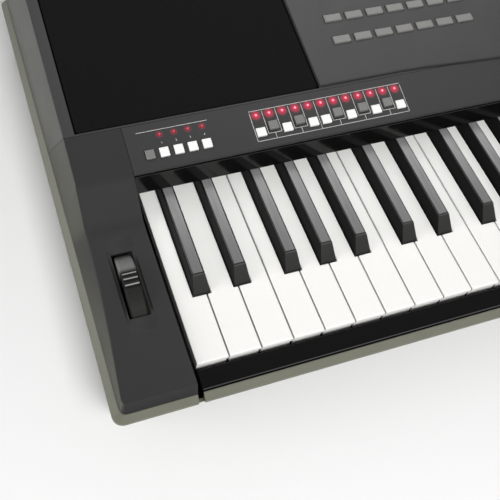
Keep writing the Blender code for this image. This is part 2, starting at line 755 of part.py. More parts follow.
# Front rail and fallboard
def build_rail_and_fallboard():
    """Build the glossy rail before the keys and the fallboard behind them."""
    rail = (
        (-1.5 * MM, -6.0 * MM),
        (-1.5 * MM, -34.0 * MM),
        (-4.0 * MM, -34.0 * MM),
        (-4.0 * MM, -10.4 * MM),
        (-15.2 * MM, -11.6 * MM),
        (-16.5 * MM, -10.6 * MM),
        (-16.5 * MM, -9.3 * MM),
        (-15.1 * MM, -7.75 * MM),
    )
    add_part("front_rail", profile_bar(rail, -HALF_KEYS, HALF_KEYS), "gloss_black", DATUM)
    foot_z = SHARP_HEIGHT + 1.0 * MM
    lean = 4.5 * MM
    top = STRIP_Z - STRIP_THICKNESS - 0.8 * MM
    board = (
        (STRIP_Y - lean, foot_z),
        (STRIP_Y - lean + 2.5 * MM, foot_z),
        (STRIP_Y + 2.5 * MM, top - 2.5 * MM),
        (STRIP_Y + 4.0 * MM, top - 2.5 * MM),
        (STRIP_Y + 4.0 * MM, top),
        (STRIP_Y, top),
    )
    half = HALF_KEYS + BLOCK_GAP - SEAT_GAP
    add_part("fallboard", profile_bar(board, -half, half), "gloss_black", DATUM)


# Buttons and control strip
def cap_sections(x, s, size, low, high, edge=0.5 * MM):
    """Return the stacked outlines of a button cap."""
    rows = ((0.0, low), (0.0, high - edge), (edge, high))
    sections = []
    for inset, z in rows:
        w = size[0] / 2 - inset
        h = size[1] / 2 - inset
        sections.append([(x - w, s - h, z), (x + w, s - h, z), (x + w, s + h, z), (x - w, s + h, z)])
    return sections


def add_hole(bm, x, s, size, gap=BUTTON_GAP):
    """Add a button's hole to a cutter."""
    w = size[0] / 2 + gap
    h = size[1] / 2 + gap
    add_box(bm, x - w, x + w, s - h, s + h, -12 * MM, 12 * MM)


def cap_bank(name, slot, parent, places, size, web, high=BUTTON_RISE, low=-BUTTON_DEPTH):
    """Build a row of caps on its moulded web; each place is (x, s)."""
    bm = bmesh.new()
    for x, s in places:
        add_stack(bm, cap_sections(x, s, size, low, high))
    bank = add_part(name, bm, slot, parent)
    if web:
        x0, x1, s0, s1 = web
        fuse(bank, box(x0, x1, s0, s1, low - WEB_PLATE, low + 0.3 * MM))
    return bank


def scale_x(step):
    """Return the middle of a scale button."""
    return -HALF_KEYS + SCALE_FIRST + step * SCALE_PITCH


def strip_outline_parts():
    """Build the control strip, its buttons and the lamp board under it."""
    half = HALF_KEYS + BLOCK_GAP - SEAT_GAP
    profile = (
        (0.0, -STRIP_THICKNESS),
        (0.0, -1.0 * MM),
        (1.0 * MM, 0.0),
        (STRIP_REACH - SEAT_GAP, 0.0),
        (STRIP_REACH - SEAT_GAP, -STRIP_THICKNESS),
    )
    strip = add_part("control_strip", profile_bar(profile, -half, half), "deck", STRIP_PLANE)
    holes = bmesh.new()
    memory = [(-HALF_KEYS + x, MEMORY_S) for x in MEMORY_CENTRES]
    for index, (x, s) in enumerate(memory):
        add_hole(holes, x, s, SMALL_BUTTON)
        name = "memory_button" if index == 0 else f"preset_button_{index}"
        slot = "grey_button" if index == 0 else "white_button"
        bm = stack(cap_sections(0, 0, SMALL_BUTTON, -BUTTON_DEPTH, BUTTON_RISE))
        cap = add_part(name, bm, slot, STRIP_PLANE, (x, s, 0))
        flange = SMALL_BUTTON[0] / 2 + 1.2 * MM
        fuse(cap, box(-flange, flange, -3 * MM, 3 * MM, -BUTTON_DEPTH - WEB_PLATE, 0.3 * MM - BUTTON_DEPTH))
    naturals = [(scale_x(step), SCALE_NATURAL_S) for step in SCALE_NATURAL_STEPS]
    sharps = [(scale_x(step), SCALE_SHARP_S) for step in SCALE_SHARP_STEPS]
    for x, s in naturals + sharps:
        add_hole(holes, x, s, SCALE_BUTTON)
    reach = SCALE_BUTTON[0] / 2 - 0.6 * MM
    near = SCALE_NATURAL_S - SCALE_BUTTON[1] / 2
    web = (naturals[0][0] - reach, naturals[-1][0] + reach, near - 3 * MM, near + 2 * MM)
    cap_bank("scale_naturals", "white_button", STRIP_PLANE, naturals, SCALE_BUTTON, web)
    far = SCALE_SHARP_S + SCALE_BUTTON[1] / 2
    web = (sharps[0][0] - reach, sharps[-1][0] + reach, far - 2 * MM, far + 3 * MM)
    cap_bank("scale_sharps", "grey_button", STRIP_PLANE, sharps, SCALE_BUTTON, web, BUTTON_RISE + 1.0 * MM)
    transport = []
    for index in range(TRANSPORT_COUNT):
        x = -HALF_KEYS + TRANSPORT_FIRST + index * TRANSPORT_PITCH
        transport.append((x, TRANSPORT_S))
        add_hole(holes, x, TRANSPORT_S, TRANSPORT_BUTTON)
    reach = TRANSPORT_BUTTON[0] / 2 - 1 * MM
    web = (transport[0][0] - reach, transport[-1][0] + reach, TRANSPORT_S - 3 * MM, TRANSPORT_S + 3 * MM)
    cap_bank("transport_buttons", "grey_button", STRIP_PLANE, transport, TRANSPORT_BUTTON, web)
    cut(strip, holes)
    lamps = [-HALF_KEYS + x for x in MEMORY_CENTRES[1:]] + [scale_x(step) for step in range(12)]
    lamp_holes = bmesh.new()
    lamp_posts = bmesh.new()
    for x in lamps:
        at = Matrix.Translation((x, LAMP_S, 0))
        add_cylinder(lamp_holes, LAMP_RADIUS + 0.3 * MM, 20 * MM, at, 8)
        post = Matrix.Translation((x, LAMP_S, -4.5 * MM))
        add_cylinder(lamp_posts, LAMP_RADIUS, 9.2 * MM, post, 8)
    cut(strip, lamp_holes)
    base = -BUTTON_DEPTH - WEB_PLATE - BUTTON_TRAVEL - 1.0 * MM
    last = transport[-1][0] + TRANSPORT_BUTTON[0] / 2 + 2 * MM
    s0 = PANEL_BOARD_START
    s1 = PANEL_BOARD_START + PANEL_BOARD_LENGTH
    board = box(-HALF_KEYS + 2 * MM, last, s0, s1, base - BOARD_THICKNESS, base)
    panel_board = add_part("panel_board", board, "board", STRIP_PLANE)
    fuse(panel_board, lamp_posts)


def panel_outline(z, inset=0.0):
    """Return the centre panel's outline, whose front swells towards the player in the middle."""
    x1 = PANEL_HALF - inset
    points = []
    stations = (1.0, 0.73, 0.65, 0.58, 0.5, 0.42, 0.36)
    shares = [-share for share in stations] + list(reversed(stations))
    for share in shares:
        way = (PANEL_BULGE_FROM - abs(share) * PANEL_HALF) / (PANEL_BULGE_FROM - PANEL_BULGE_TO)
        way = min(1.0, max(0.0, way))
        front = PANEL_START - PANEL_BULGE * way * way * (3 - 2 * way)
        points.append((share * x1, front + inset, z))
    points += [(x1, PANEL_END - inset, z), (-x1, PANEL_END - inset, z)]
    return points


def bank_places(centre_x):
    """Return the button places of one bank."""
    places = []
    for row in range(BANK_ROWS):
        for column in range(BANK_COLUMNS):
            x = centre_x + (column - (BANK_COLUMNS - 1) / 2) * BANK_PITCH
            places.append((x, BANK_S + row * BANK_ROW_PITCH))
    return places


def build_centre_panel():
    """Build the centre panel, its display, banks of buttons, dial and knob."""
    low = SEAT_GAP
    high = low + PANEL_THICKNESS
    edge = 0.7 * MM
    rows = (panel_outline(low), panel_outline(high - edge), panel_outline(high, edge))
    panel = add_part("centre_panel", stack(rows), "deck", DECK_PLANE)
    holes = bmesh.new()
    window = box(
        -DISPLAY_WIDTH / 2,
        DISPLAY_WIDTH / 2,
        DISPLAY_S - DISPLAY_LENGTH / 2,
        DISPLAY_S + DISPLAY_LENGTH / 2,
        high - DISPLAY_DEPTH,
        high - 0.2 * MM,
    )
    add_part("display_window", window, "display", DECK_PLANE)
    add_hole(holes, 0, DISPLAY_S, (DISPLAY_WIDTH, DISPLAY_LENGTH), SEAT_GAP)
    rise = high + BUTTON_RISE
    depth = high - BUTTON_DEPTH
    for name, side in (("style_buttons", -1), ("voice_buttons", 1)):
        places = bank_places(side * (PANEL_HALF - BANK_INSET))
        for x, s in places:
            add_hole(holes, x, s, BANK_BUTTON)
        reach = BANK_BUTTON[0] / 2 - 1 * MM
        xs = [x for x, s in places]
        web = (min(xs) - reach, max(xs) + reach, BANK_S - 2 * MM, BANK_S + BANK_ROW_PITCH + 2 * MM)
        cap_bank(name, "grey_button", DECK_PLANE, places, BANK_BUTTON, web, rise, depth)
    for name, side in (("left_display_buttons", -1), ("right_display_buttons", 1)):
        x = side * (DISPLAY_WIDTH / 2 + 12 * MM)
        places = []
        for row in range(DISPLAY_ROWS):
            s = DISPLAY_S + (row - (DISPLAY_ROWS - 1) / 2) * DISPLAY_ROW_PITCH
            places.append((x, s))
            add_hole(holes, x, s, DISPLAY_BUTTON)
        ss = [s for x, s in places]
        web = (x - 3 * MM, x + 3 * MM, min(ss) - 2 * MM, max(ss) + 2 * MM)
        cap_bank(name, "grey_button", DECK_PLANE, places, DISPLAY_BUTTON, web, rise, depth)
    shafts = bmesh.new()
    dial_x = PANEL_HALF - DIAL_INSET
    knob_x = KNOB_INSET - PANEL_HALF
    power_x = POWER_INSET - PANEL_HALF
    turned = (
        (dial_x, DIAL_S, DIAL_SHAFT),
        (knob_x, KNOB_S, KNOB_SHAFT),
        (power_x, KNOB_S, POWER_RADIUS),
    )
    for x, s, radius in turned:
        add_cylinder(shafts, radius + BUTTON_GAP, 24 * MM, Matrix.Translation((x, s, 0)), 16)
    cut(panel, holes)
    cut(panel, shafts)
    build_turned("data_dial", dial_x, DIAL_S, high, DIAL_RADIUS, DIAL_HEIGHT, DIAL_SHAFT, 32)
    build_turned("volume_knob", knob_x, KNOB_S, high, KNOB_RADIUS, KNOB_HEIGHT, KNOB_SHAFT, 24)
    bm = bmesh.new()
    length = BUTTON_RISE + BUTTON_DEPTH
    lift = Matrix.Translation((0, 0, high + BUTTON_RISE - length / 2))
    add_cylinder(bm, POWER_RADIUS, length, lift, 16)
    smooth(add_part("power_button", bm, "white_button", DECK_PLANE, (power_x, KNOB_S, 0)))


def build_turned(name, x, s, base, radius, height, shaft, steps):
    """Turn a dial or knob with its shaft, a rounded rim and a dished top."""
    dish = 1.2 * MM
    rim = 1.2 * MM
    under = base + 0.6 * MM
    top = under + height
    profile = (
        (0.0, top - dish),
        (radius * 0.55, top - dish),
        (radius - 2 * rim, top),
        (radius - rim, top),
        (radius, top - rim),
        (radius + 0.4 * MM, under + rim),
        (radius, under),
        (shaft, under),
        (shaft, base - 8 * MM),
        (0.0, base - 8 * MM),
    )
    knob = screw_part(name, profile, "wheel", DECK_PLANE, (x, s, 0), steps)
    if name == "data_dial":
        dimple = bmesh.new()
        matrix = Matrix.Translation((radius * 0.6, 0, top + 3.2 * MM))
        bmesh.ops.create_uvsphere(dimple, u_segments=12, v_segments=8, radius=6 * MM, matrix=matrix)
        cut(knob, dimple)


def screw_part(name, profile, slot, parent, location, steps):
    """Turn an (r, z) profile about Z with a Screw modifier."""
    bm = bmesh.new()
    verts = [bm.verts.new((r, 0, z)) for r, z in profile]
    for first, second in zip(verts, verts[1:]):
        bm.edges.new((first, second))
    mesh = bpy.data.meshes.new(name)
    bm.to_mesh(mesh)
    bm.free()
    piece = bpy.data.objects.new(name, mesh)
    PARTS.objects.link(piece)
    piece.parent = parent
    piece.location = location
    mesh.materials.append(finish(slot))
    turn = piece.modifiers.new("turn", "SCREW")
    turn.axis = "Z"
    turn.angle = 2 * math.pi
    turn.steps = steps
    turn.render_steps = steps
    turn.use_merge_vertices = True
    turn.merge_threshold = 0.00001
    turn.use_normal_calculate = True
    return piece


# Wheel
def build_wheel():
    """Build the sprung pitch wheel and its bracket on the case floor."""
    x = -HALF_KEYS - WHEEL_REACH
    axle_z = BLOCK_TOP + WHEEL_RISE - WHEEL_RADIUS
    half = WHEEL_WIDTH / 2
    cheek = half + BRACKET_GAP
    pin = cheek + BRACKET_PLATE + 1.0 * MM
    turn = Matrix.Rotation(math.pi / 2, 4, "Y")
    edge = 1.0 * MM
    bm = bmesh.new()
    sections = []
    rows = (
        (WHEEL_AXLE, -pin),
        (WHEEL_AXLE, -half),
        (WHEEL_RADIUS - edge, -half),
        (WHEEL_RADIUS, -half + edge),
        (WHEEL_RADIUS, half - edge),
        (WHEEL_RADIUS - edge, half),
        (WHEEL_AXLE, half),
        (WHEEL_AXLE, pin),
    )
    for radius, offset in rows:
        ring = []
        for step in range(WHEEL_STEPS):
            angle = 2 * math.pi * (step + 0.5) / WHEEL_STEPS
            ring.append((offset, radius * math.cos(angle), radius * math.sin(angle)))
        sections.append(ring)
    add_stack(bm, sections)
    wheel = add_part("pitch_wheel", bm, "wheel", DATUM, (x, WHEEL_Y, axle_z))
    ribs = bmesh.new()
    for angle in RIB_ANGLES:
        lean = Matrix.Rotation(math.radians(angle), 4, "X")
        radius = WHEEL_RADIUS - 0.2 * MM
        matrix = lean @ Matrix.Translation((0, 0, radius)) @ turn
        add_cylinder(ribs, RIB_RADIUS, WHEEL_WIDTH - 2 * edge, matrix, 8)
    fuse(wheel, ribs)
    floor = CASE_FLOOR_Z + CASE_WALL + SEAT_GAP
    base = floor - axle_z
    plate = BRACKET_PLATE
    long = BRACKET_LENGTH / 2
    low = -WHEEL_RADIUS - 1.2 * MM
    bracket = bmesh.new()
    sections = []
    outline = (
        (-cheek - plate, base),
        (cheek + plate, base),
        (cheek + plate, 8 * MM),
        (cheek, 8 * MM),
        (cheek, low),
        (-cheek, low),
        (-cheek, 8 * MM),
        (-cheek - plate, 8 * MM),
    )
    for y in (-long, long):
        sections.append([(a, y, z) for a, z in outline])
    add_stack(bracket, sections)
    piece = add_part("wheel_bracket", bracket, "steel", DATUM, (x, WHEEL_Y, axle_z))
    bore = bmesh.new()
    add_cylinder(bore, WHEEL_AXLE + 0.4 * MM, 4 * pin, turn, 16)
    cut(piece, bore)


# Grilles and speakers
def build_grilles():
    """Build the grille covers in the deck and the speakers under them."""
    for name, side in (("left", -1), ("right", 1)):
        x = side * (HALF_KEYS + GRILLE_OUTER - GRILLE_WIDTH / 2)
        w = GRILLE_WIDTH / 2
        c = GRILLE_CORNER
        t = GRILLE_THICKNESS
        gap = GRILLE_GAP
        rows = ((t, -3.4 * MM), (0.0, -3.4 * MM), (0.0, -1.0 * MM), (0.8 * MM, -0.2 * MM))
        sections = [rounded_outline(-w + t, w - t, gap + t, gap + GRILLE_LENGTH - t, c - t, 3, -t)]
        for inset, z in rows:
            y1 = gap + GRILLE_LENGTH - inset
            sections.append(rounded_outline(-w + inset, w - inset, gap + inset, y1, c - inset, 3, z))
        add_part(f"{name}_grille", stack(sections), "grille", DECK_PLANE, (x, 0, 0))
        rim = SPEAKER_RADIUS
        profile = (
            (0.0, -12 * MM),
            (rim * 0.22, -12 * MM),
            (rim * 0.3, -17 * MM),
            (rim * 0.8, -9.0 * MM),
            (rim * 0.9, -8.0 * MM),
            (rim, -8.0 * MM),
            (rim, -11.0 * MM),
            (rim * 0.88, -12.0 * MM),
            (MAGNET_RADIUS + 4 * MM, -8 * MM - SPEAKER_DEPTH * 0.6),
            (MAGNET_RADIUS, -8 * MM - SPEAKER_DEPTH * 0.6),
            (MAGNET_RADIUS, -8 * MM - SPEAKER_DEPTH),
            (0.0, -8 * MM - SPEAKER_DEPTH),
        )
        at = (x, gap + GRILLE_LENGTH / 2, 0)
        screw_part(f"{name}_speaker", profile, "cone", DECK_PLANE, at, 24)


# Inner frame, boards and sockets
def build_inner_parts():
    """Build the key frame, stop felt, boards and rear socket panel."""
    floor = -FRAME_FLOOR
    plate = floor + FRAME_PLATE
    natural_ridge = -NATURAL_DEPTH - SEAT_GAP
    sharp_ridge = -SHARP_UNDERSIDE - SEAT_GAP
    ridge = RIDGE_WIDTH / 2
    back = SHARP_LENGTH_END + 6 * MM
    profile = (
        (4 * MM, floor),
        (4 * MM, -STOP_HEIGHT),
        (14 * MM, -STOP_HEIGHT),
        (14 * MM, plate),
        (NATURAL_PIVOT_Y - 6 * MM, plate),
        (NATURAL_PIVOT_Y - ridge, natural_ridge),
        (NATURAL_PIVOT_Y + ridge, natural_ridge),
        (SHARP_PIVOT_Y - 3 * MM, natural_ridge - 6 * MM),
        (SHARP_PIVOT_Y - ridge, sharp_ridge),
        (SHARP_PIVOT_Y + ridge, sharp_ridge),
        (SHARP_PIVOT_Y + 4 * MM, plate),
        (back, plate),
        (back, floor),
    )
    add_part("key_frame", profile_bar(profile, -HALF_KEYS, HALF_KEYS), "steel", DATUM)
    low = -STOP_HEIGHT + SEAT_GAP
    felt = box(-HALF_KEYS + 1 * MM, HALF_KEYS - 1 * MM, 5 * MM, 13 * MM, low, low + FELT_THICKNESS)
    add_part("key_stop_felt", felt, "felt", DATUM)
    low = plate + SEAT_GAP
    x1 = HALF_KEYS - CONTACT_BOARD_INSET
    y0 = CONTACT_BOARD_Y - CONTACT_BOARD_LENGTH / 2
    board = box(-x1, x1, y0, y0 + CONTACT_BOARD_LENGTH, low, low + BOARD_THICKNESS)
    add_part("contact_board", board, "board", DATUM)
    low = CASE_FLOOR_Z + CASE_WALL + SEAT_GAP
    x1 = MAIN_BOARD[0] / 2
    y0 = MAIN_BOARD_Y - MAIN_BOARD[1] / 2
    main = box(-x1, x1, y0, y0 + MAIN_BOARD[1], low, low + BOARD_THICKNESS)
    main_board = add_part("main_board", main, "board", DATUM)
    chips = bmesh.new()
    for x, y, size, height in CHIPS:
        x0 = x - size / 2
        y0 = MAIN_BOARD_Y + y - size / 2
        top = low + BOARD_THICKNESS
        add_box(chips, x0, x0 + size, y0, y0 + size, top - 0.5 * MM, top + height)
    fuse(main_board, chips)
    build_jack_panel()


def build_jack_panel():
    """Build the rear socket panel with round jacks and one square port."""
    x0 = JACK_X - JACK_PITCH + SEAT_GAP
    x1 = JACK_X + JACK_PITCH * (JACK_COUNT + 1) - SEAT_GAP
    z = -JACK_DROP
    half = JACK_PLATE_HEIGHT / 2 - SEAT_GAP
    face = BACK_Y - 1.5 * MM
    back = face - JACK_PLATE_THICKNESS
    panel = add_part("jack_panel", box(x0, x1, back, face, z - half, z + half), "gloss_black", DATUM)
    bodies = bmesh.new()
    bores = bmesh.new()
    turn = Matrix.Rotation(math.pi / 2, 4, "X")
    body = JACK_BODY / 2
    for index in range(JACK_COUNT):
        x = JACK_X + index * JACK_PITCH
        add_box(bodies, x - body, x + body, face - JACK_DEPTH - 4 * MM, back + 0.5 * MM, z - body, z + body)
        matrix = Matrix.Translation((x, face - JACK_DEPTH / 2, z)) @ turn
        add_cylinder(bores, JACK_RADIUS, JACK_DEPTH + 2 * MM, matrix, 12)
    x = JACK_X + JACK_COUNT * JACK_PITCH
    w = PORT_SIZE[0] / 2
    h = PORT_SIZE[1] / 2
    wall = 2 * MM
    wide = w + wall
    tall = h + wall
    add_box(bodies, x - wide, x + wide, face - JACK_DEPTH - 4 * MM, back + 0.5 * MM, z - tall, z + tall)
    add_box(bores, x - w, x + w, face - JACK_DEPTH, face + 1 * MM, z - h, z + h)
    fuse(panel, bodies)
    cut(panel, bores)


def main():
    """Build every piece of the keyboard."""
    build_single_keys()
    build_key_combs()
    build_lower_case()
    build_feet()
    build_end_blocks()
    build_rear_housing()
    build_rail_and_fallboard()
    strip_outline_parts()
    build_centre_panel()
    build_wheel()
    build_grilles()
    build_inner_parts()
    bpy.context.view_layer.update()


main()
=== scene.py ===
"""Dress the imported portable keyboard: moulded cases, glossy trims, keys, print and lamps.

Everything is in metres in the part's own frame: +X towards the treble, +Y to the back, +Z up.
"""

import json
import logging
import math
from dataclasses import dataclass, field
from enum import Enum

import bmesh
import bpy
from mathutils import Matrix, Vector


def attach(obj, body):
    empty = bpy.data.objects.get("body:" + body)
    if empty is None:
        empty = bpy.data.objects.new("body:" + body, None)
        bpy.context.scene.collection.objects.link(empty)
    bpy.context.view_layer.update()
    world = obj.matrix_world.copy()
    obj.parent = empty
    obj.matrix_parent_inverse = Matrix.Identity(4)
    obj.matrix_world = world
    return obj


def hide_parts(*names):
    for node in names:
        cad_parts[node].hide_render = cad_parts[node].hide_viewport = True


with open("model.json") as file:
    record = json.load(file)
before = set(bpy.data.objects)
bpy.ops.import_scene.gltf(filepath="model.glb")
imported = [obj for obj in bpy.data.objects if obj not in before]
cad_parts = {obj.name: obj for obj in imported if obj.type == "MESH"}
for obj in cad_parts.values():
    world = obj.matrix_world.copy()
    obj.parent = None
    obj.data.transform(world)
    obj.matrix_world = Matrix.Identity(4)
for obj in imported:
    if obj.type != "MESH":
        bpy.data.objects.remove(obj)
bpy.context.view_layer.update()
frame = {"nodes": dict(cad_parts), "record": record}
LOG = logging.getLogger("portable_keyboard")
MM = 0.001
EDGE_LIMIT = math.radians(30.0)
WIDE_CHAMFER = 0.9 * MM
PANEL_FRONT_END = 5.0 * MM

HALF_KEYS = 423.0 * MM
KEY_TOP = Vector((0.0, -190.5 * MM, 72.0 * MM))
STRIP_SLOPE = math.radians(15.0)
STRIP_FRONT = KEY_TOP + Vector((0.0, 143.0 * MM, 30.0 * MM))
STRIP_MATRIX = Matrix.Translation(STRIP_FRONT) @ Matrix.Rotation(STRIP_SLOPE, 4, "X")
LAMP_ROW = 28.0 * MM
LAMP_FIRST = -HALF_KEYS + 98.6 * MM
LAMP_PITCH = 10.76 * MM
LAMP_COUNT = 12
BLACK_STEPS = (1, 3, 6, 8, 10)
PRESET_LAMPS = tuple((x - 423.0) * MM for x in (22.4, 33.5, 44.3, 55.4))


class Node:
    """A shader socket whose arithmetic adds Math nodes."""

    def __init__(self, shader: "Shader", socket: bpy.types.NodeSocket) -> None:
        """Keep the socket and the shader that it belongs to."""
        self.shader = shader
        self.socket = socket

    def _math(self, operation: str, *values: object) -> "Node":
        """Add a Math node for the operation on the values."""
        return self.shader.node("ShaderNodeMath", {"operation": operation}, dict(enumerate(values)))

    def __add__(self, other: object) -> "Node":
        """Return self + other."""
        return self._math("ADD", self, other)

    __radd__ = __add__

    def __sub__(self, other: object) -> "Node":
        """Return self - other."""
        return self._math("SUBTRACT", self, other)

    def __rsub__(self, other: object) -> "Node":
        """Return other - self."""
        return self._math("SUBTRACT", other, self)

    def __mul__(self, other: object) -> "Node":
        """Return self * other."""
        return self._math("MULTIPLY", self, other)

    __rmul__ = __mul__

    def power(self, exponent: float) -> "Node":
        """Return self to the power of exponent."""
        return self._math("POWER", self, exponent)

    def nearest(self) -> "Node":
        """Return self rounded to a whole number."""
        return self._math("ROUND", self)

    def limited(self, low: float, high: float) -> "Node":
        """Return self kept between low and high."""
        return self._math("MAXIMUM", self._math("MINIMUM", self, high), low)

    def ramp(self, start: float, end: float) -> "Node":
        """Return 0 at start and 1 at end, with a smooth change between them."""
        return self.shader.node(
            "ShaderNodeMapRange",
            {"interpolation_type": "SMOOTHSTEP"},
            {"Value": self, "From Min": start, "From Max": end},
        )


class Shader:
    """A Principled material that is built up from node expressions."""

    def __init__(self, name: str) -> None:
        """Make the material with its Principled shader.

        Args:
            name: The material's name.
        """
        self.material = bpy.data.materials.new(name)
        self.material.use_nodes = True
        self.tree = self.material.node_tree
        self.principled = self.tree.nodes["Principled BSDF"]

    def node(self, kind: str, settings: dict, values: dict, output: int | str = 0) -> Node:
        """Add any node.

        Args:
            kind: The node's type.
            settings: Its properties, which are set first.
            values: Values or links for its inputs, by name or number.
            output: The output that is returned.

        Returns:
            The output as a Node.
        """
        made = self.tree.nodes.new(kind)
        for key, value in settings.items():
            setattr(made, key, value)
        for key, value in values.items():
            self.plug(made.inputs[key], value)
        return Node(self, made.outputs[output])

    def plug(self, socket: bpy.types.NodeSocket, value: object) -> None:
        """Link a Node to a socket, or set a plain value on it."""
        if isinstance(value, Node):
            self.tree.links.new(value.socket, socket)
        else:
            socket.default_value = value

    def set(self, **values: object) -> None:
        """Set the Principled shader's sockets, with _ for the spaces in their names."""
        for key, value in values.items():
            self.plug(self.principled.inputs[key.replace("_", " ")], value)

    def place(self) -> Node:
        """Return the object coordinates."""
        return self.node("ShaderNodeTexCoord", {}, {}, "Object")

    def axes(self) -> tuple[Node, Node, Node]:
        """Return x, y and z of the object coordinates."""
        split = self.node("ShaderNodeSeparateXYZ", {}, {0: self.place()})
        outputs = split.socket.node.outputs
        return tuple(Node(self, outputs[index]) for index in range(3))

    def facing(self) -> tuple[Node, Node, Node]:
        """Return x, y and z of the direction that the surface faces."""
        normal = self.node("ShaderNodeNewGeometry", {}, {}, "Normal")
        split = self.node("ShaderNodeSeparateXYZ", {}, {0: normal})
        outputs = split.socket.node.outputs
        return tuple(Node(self, outputs[index]) for index in range(3))

    def noise(self, size: float, detail: float = 2.0, stretch: tuple = (1.0, 1.0, 1.0)) -> Node:
        """Return noise.

        Args:
            size: How wide its features are, in metres.
            detail: How many finer layers it has.
            stretch: The scale along x, y and z.

        Returns:
            The noise as a Node, from 0 to 1.
        """
        where = self.node("ShaderNodeMapping", {}, {"Vector": self.place(), "Scale": stretch})
        return self.node(
            "ShaderNodeTexNoise",
            {},
            {"Vector": where, "Scale": 1.0 / size, "Detail": detail},
        )

    def mix(self, factor: object, first: object, second: object) -> Node:
        """Mix two colours by a factor."""
        values = {0: factor, 6: first, 7: second}
        return self.node("ShaderNodeMix", {"data_type": "RGBA"}, values, 2)

    def bump(self, height: Node, strength: float, distance: float) -> Node:
        """Return a bumped normal."""
        values = {"Height": height, "Strength": strength, "Distance": distance}
        return self.node("ShaderNodeBump", {}, values)


def shade(colour: tuple, factor: float) -> tuple:
    """Return a colour times a factor, with alpha."""
    return (*(min(1.0, c * factor) for c in colour[:3]), 1.0)


@dataclass(frozen=True)
class MouldedPlastic:
    """Injection-moulded plastic with a fine texture, faint flow marks and dust."""

    name: str
    colour: tuple
    roughness: float = 0.5
    grain: float = 0.45 * MM
    depth: float = 0.04 * MM
    strength: float = 0.35
    mottle: float = 0.1
    dust: float = 0.0
    gloss: float = 0.5
    painted_side_light: tuple | None = None
    front: float = 1.0
    wall_from: float = 0.464

    def build(self) -> bpy.types.Material:
        """Build the material; the outer sides may be painted paler, as painted light, and faces towards the
        front painted darker, as painted shade.
        """
        shader = Shader(self.name)
        cloud = shader.noise(30.0 * MM, 3.0)
        fine = shader.noise(self.grain, 1.0)
        speck = shader.noise(1.4 * MM, 2.0).ramp(0.62, 0.74)
        base = shader.mix(cloud, shade(self.colour, 1 - self.mottle), shade(self.colour, 1 + self.mottle))
        if self.painted_side_light:
            across, along, _ = shader.facing()
            x, _, _ = shader.axes()
            outer = (x * x).ramp((self.wall_from - 0.002) ** 2, (self.wall_from + 0.002) ** 2)
            # Painted shade: faces that look to the front take the colour times front.
            base = shader.mix(along.ramp(-0.75, -0.95), base, shade(self.colour, self.front))
            # Painted light: the outer sides take a paler colour.
            base = shader.mix((across * across).ramp(0.45, 0.8) * outer, base, shade(self.painted_side_light, 1.0))
        base = shader.mix(fine.ramp(0.35, 0.75) * 0.3, base, shade(self.colour, 1.35))
        base = shader.mix(speck * self.dust, base, (0.42, 0.4, 0.36, 1.0))
        rough = self.roughness + (cloud - 0.5) * 0.1 + speck * self.dust * 0.3
        shader.set(Base_Color=base, Roughness=rough, Specular_IOR_Level=self.gloss)
        shader.set(Normal=shader.bump(fine, self.strength, self.depth))
        return shader.material


@dataclass(frozen=True)
class GlossPlastic:
    """Polished plastic with faint wipe marks and waviness."""

    name: str
    colour: tuple
    roughness: float = 0.12
    wave: float = 0.06
    smear: float = 0.06

    def build(self) -> bpy.types.Material:
        """Build the material."""
        shader = Shader(self.name)
        marks = shader.noise(6.0 * MM, 4.0, (0.25, 1.0, 1.0))
        wave = shader.noise(28.0 * MM, 1.0)
        base = shader.mix(marks, shade(self.colour, 0.9), shade(self.colour, 1.1))
        shader.set(Base_Color=base, Roughness=self.roughness + marks.ramp(0.45, 0.8) * self.smear)
        shader.set(Normal=shader.bump(wave, self.wave, 0.3 * MM), Specular_IOR_Level=0.4)
        return shader.material


@dataclass(frozen=True)
class KeyWhite:
    """Glossy white key plastic, painted darker and warmer towards the front and brighter towards the back, as
    painted light.
    """

    name: str = "key_white"
    colour: tuple = (0.96, 0.96, 0.93)
    painted_dim_front: tuple = (0.885, 0.875, 0.845)

    def build(self) -> bpy.types.Material:
        """Build the material."""
        shader = Shader(self.name)
        _, y, _ = shader.axes()
        cloud = shader.noise(18.0 * MM, 2.0)
        # Painted light: the keys are darker towards the front and brighter towards the back, where the
        # housing shades them.
        painted_dim_front = y.ramp(KEY_TOP.y + 95.0 * MM, KEY_TOP.y + 20.0 * MM)
        base = shader.mix(painted_dim_front, shade(self.colour, 1.0), shade(self.painted_dim_front, 1.0))
        base = shader.mix(cloud * 0.08, base, (0.78, 0.77, 0.7, 1.0))
        rough = 0.3 + cloud * 0.1
        shader.set(Base_Color=base, Roughness=rough, Specular_IOR_Level=0.3)
        shader.set(Normal=shader.bump(shader.noise(9.0 * MM, 1.0), 0.05, 0.2 * MM))
        return shader.material


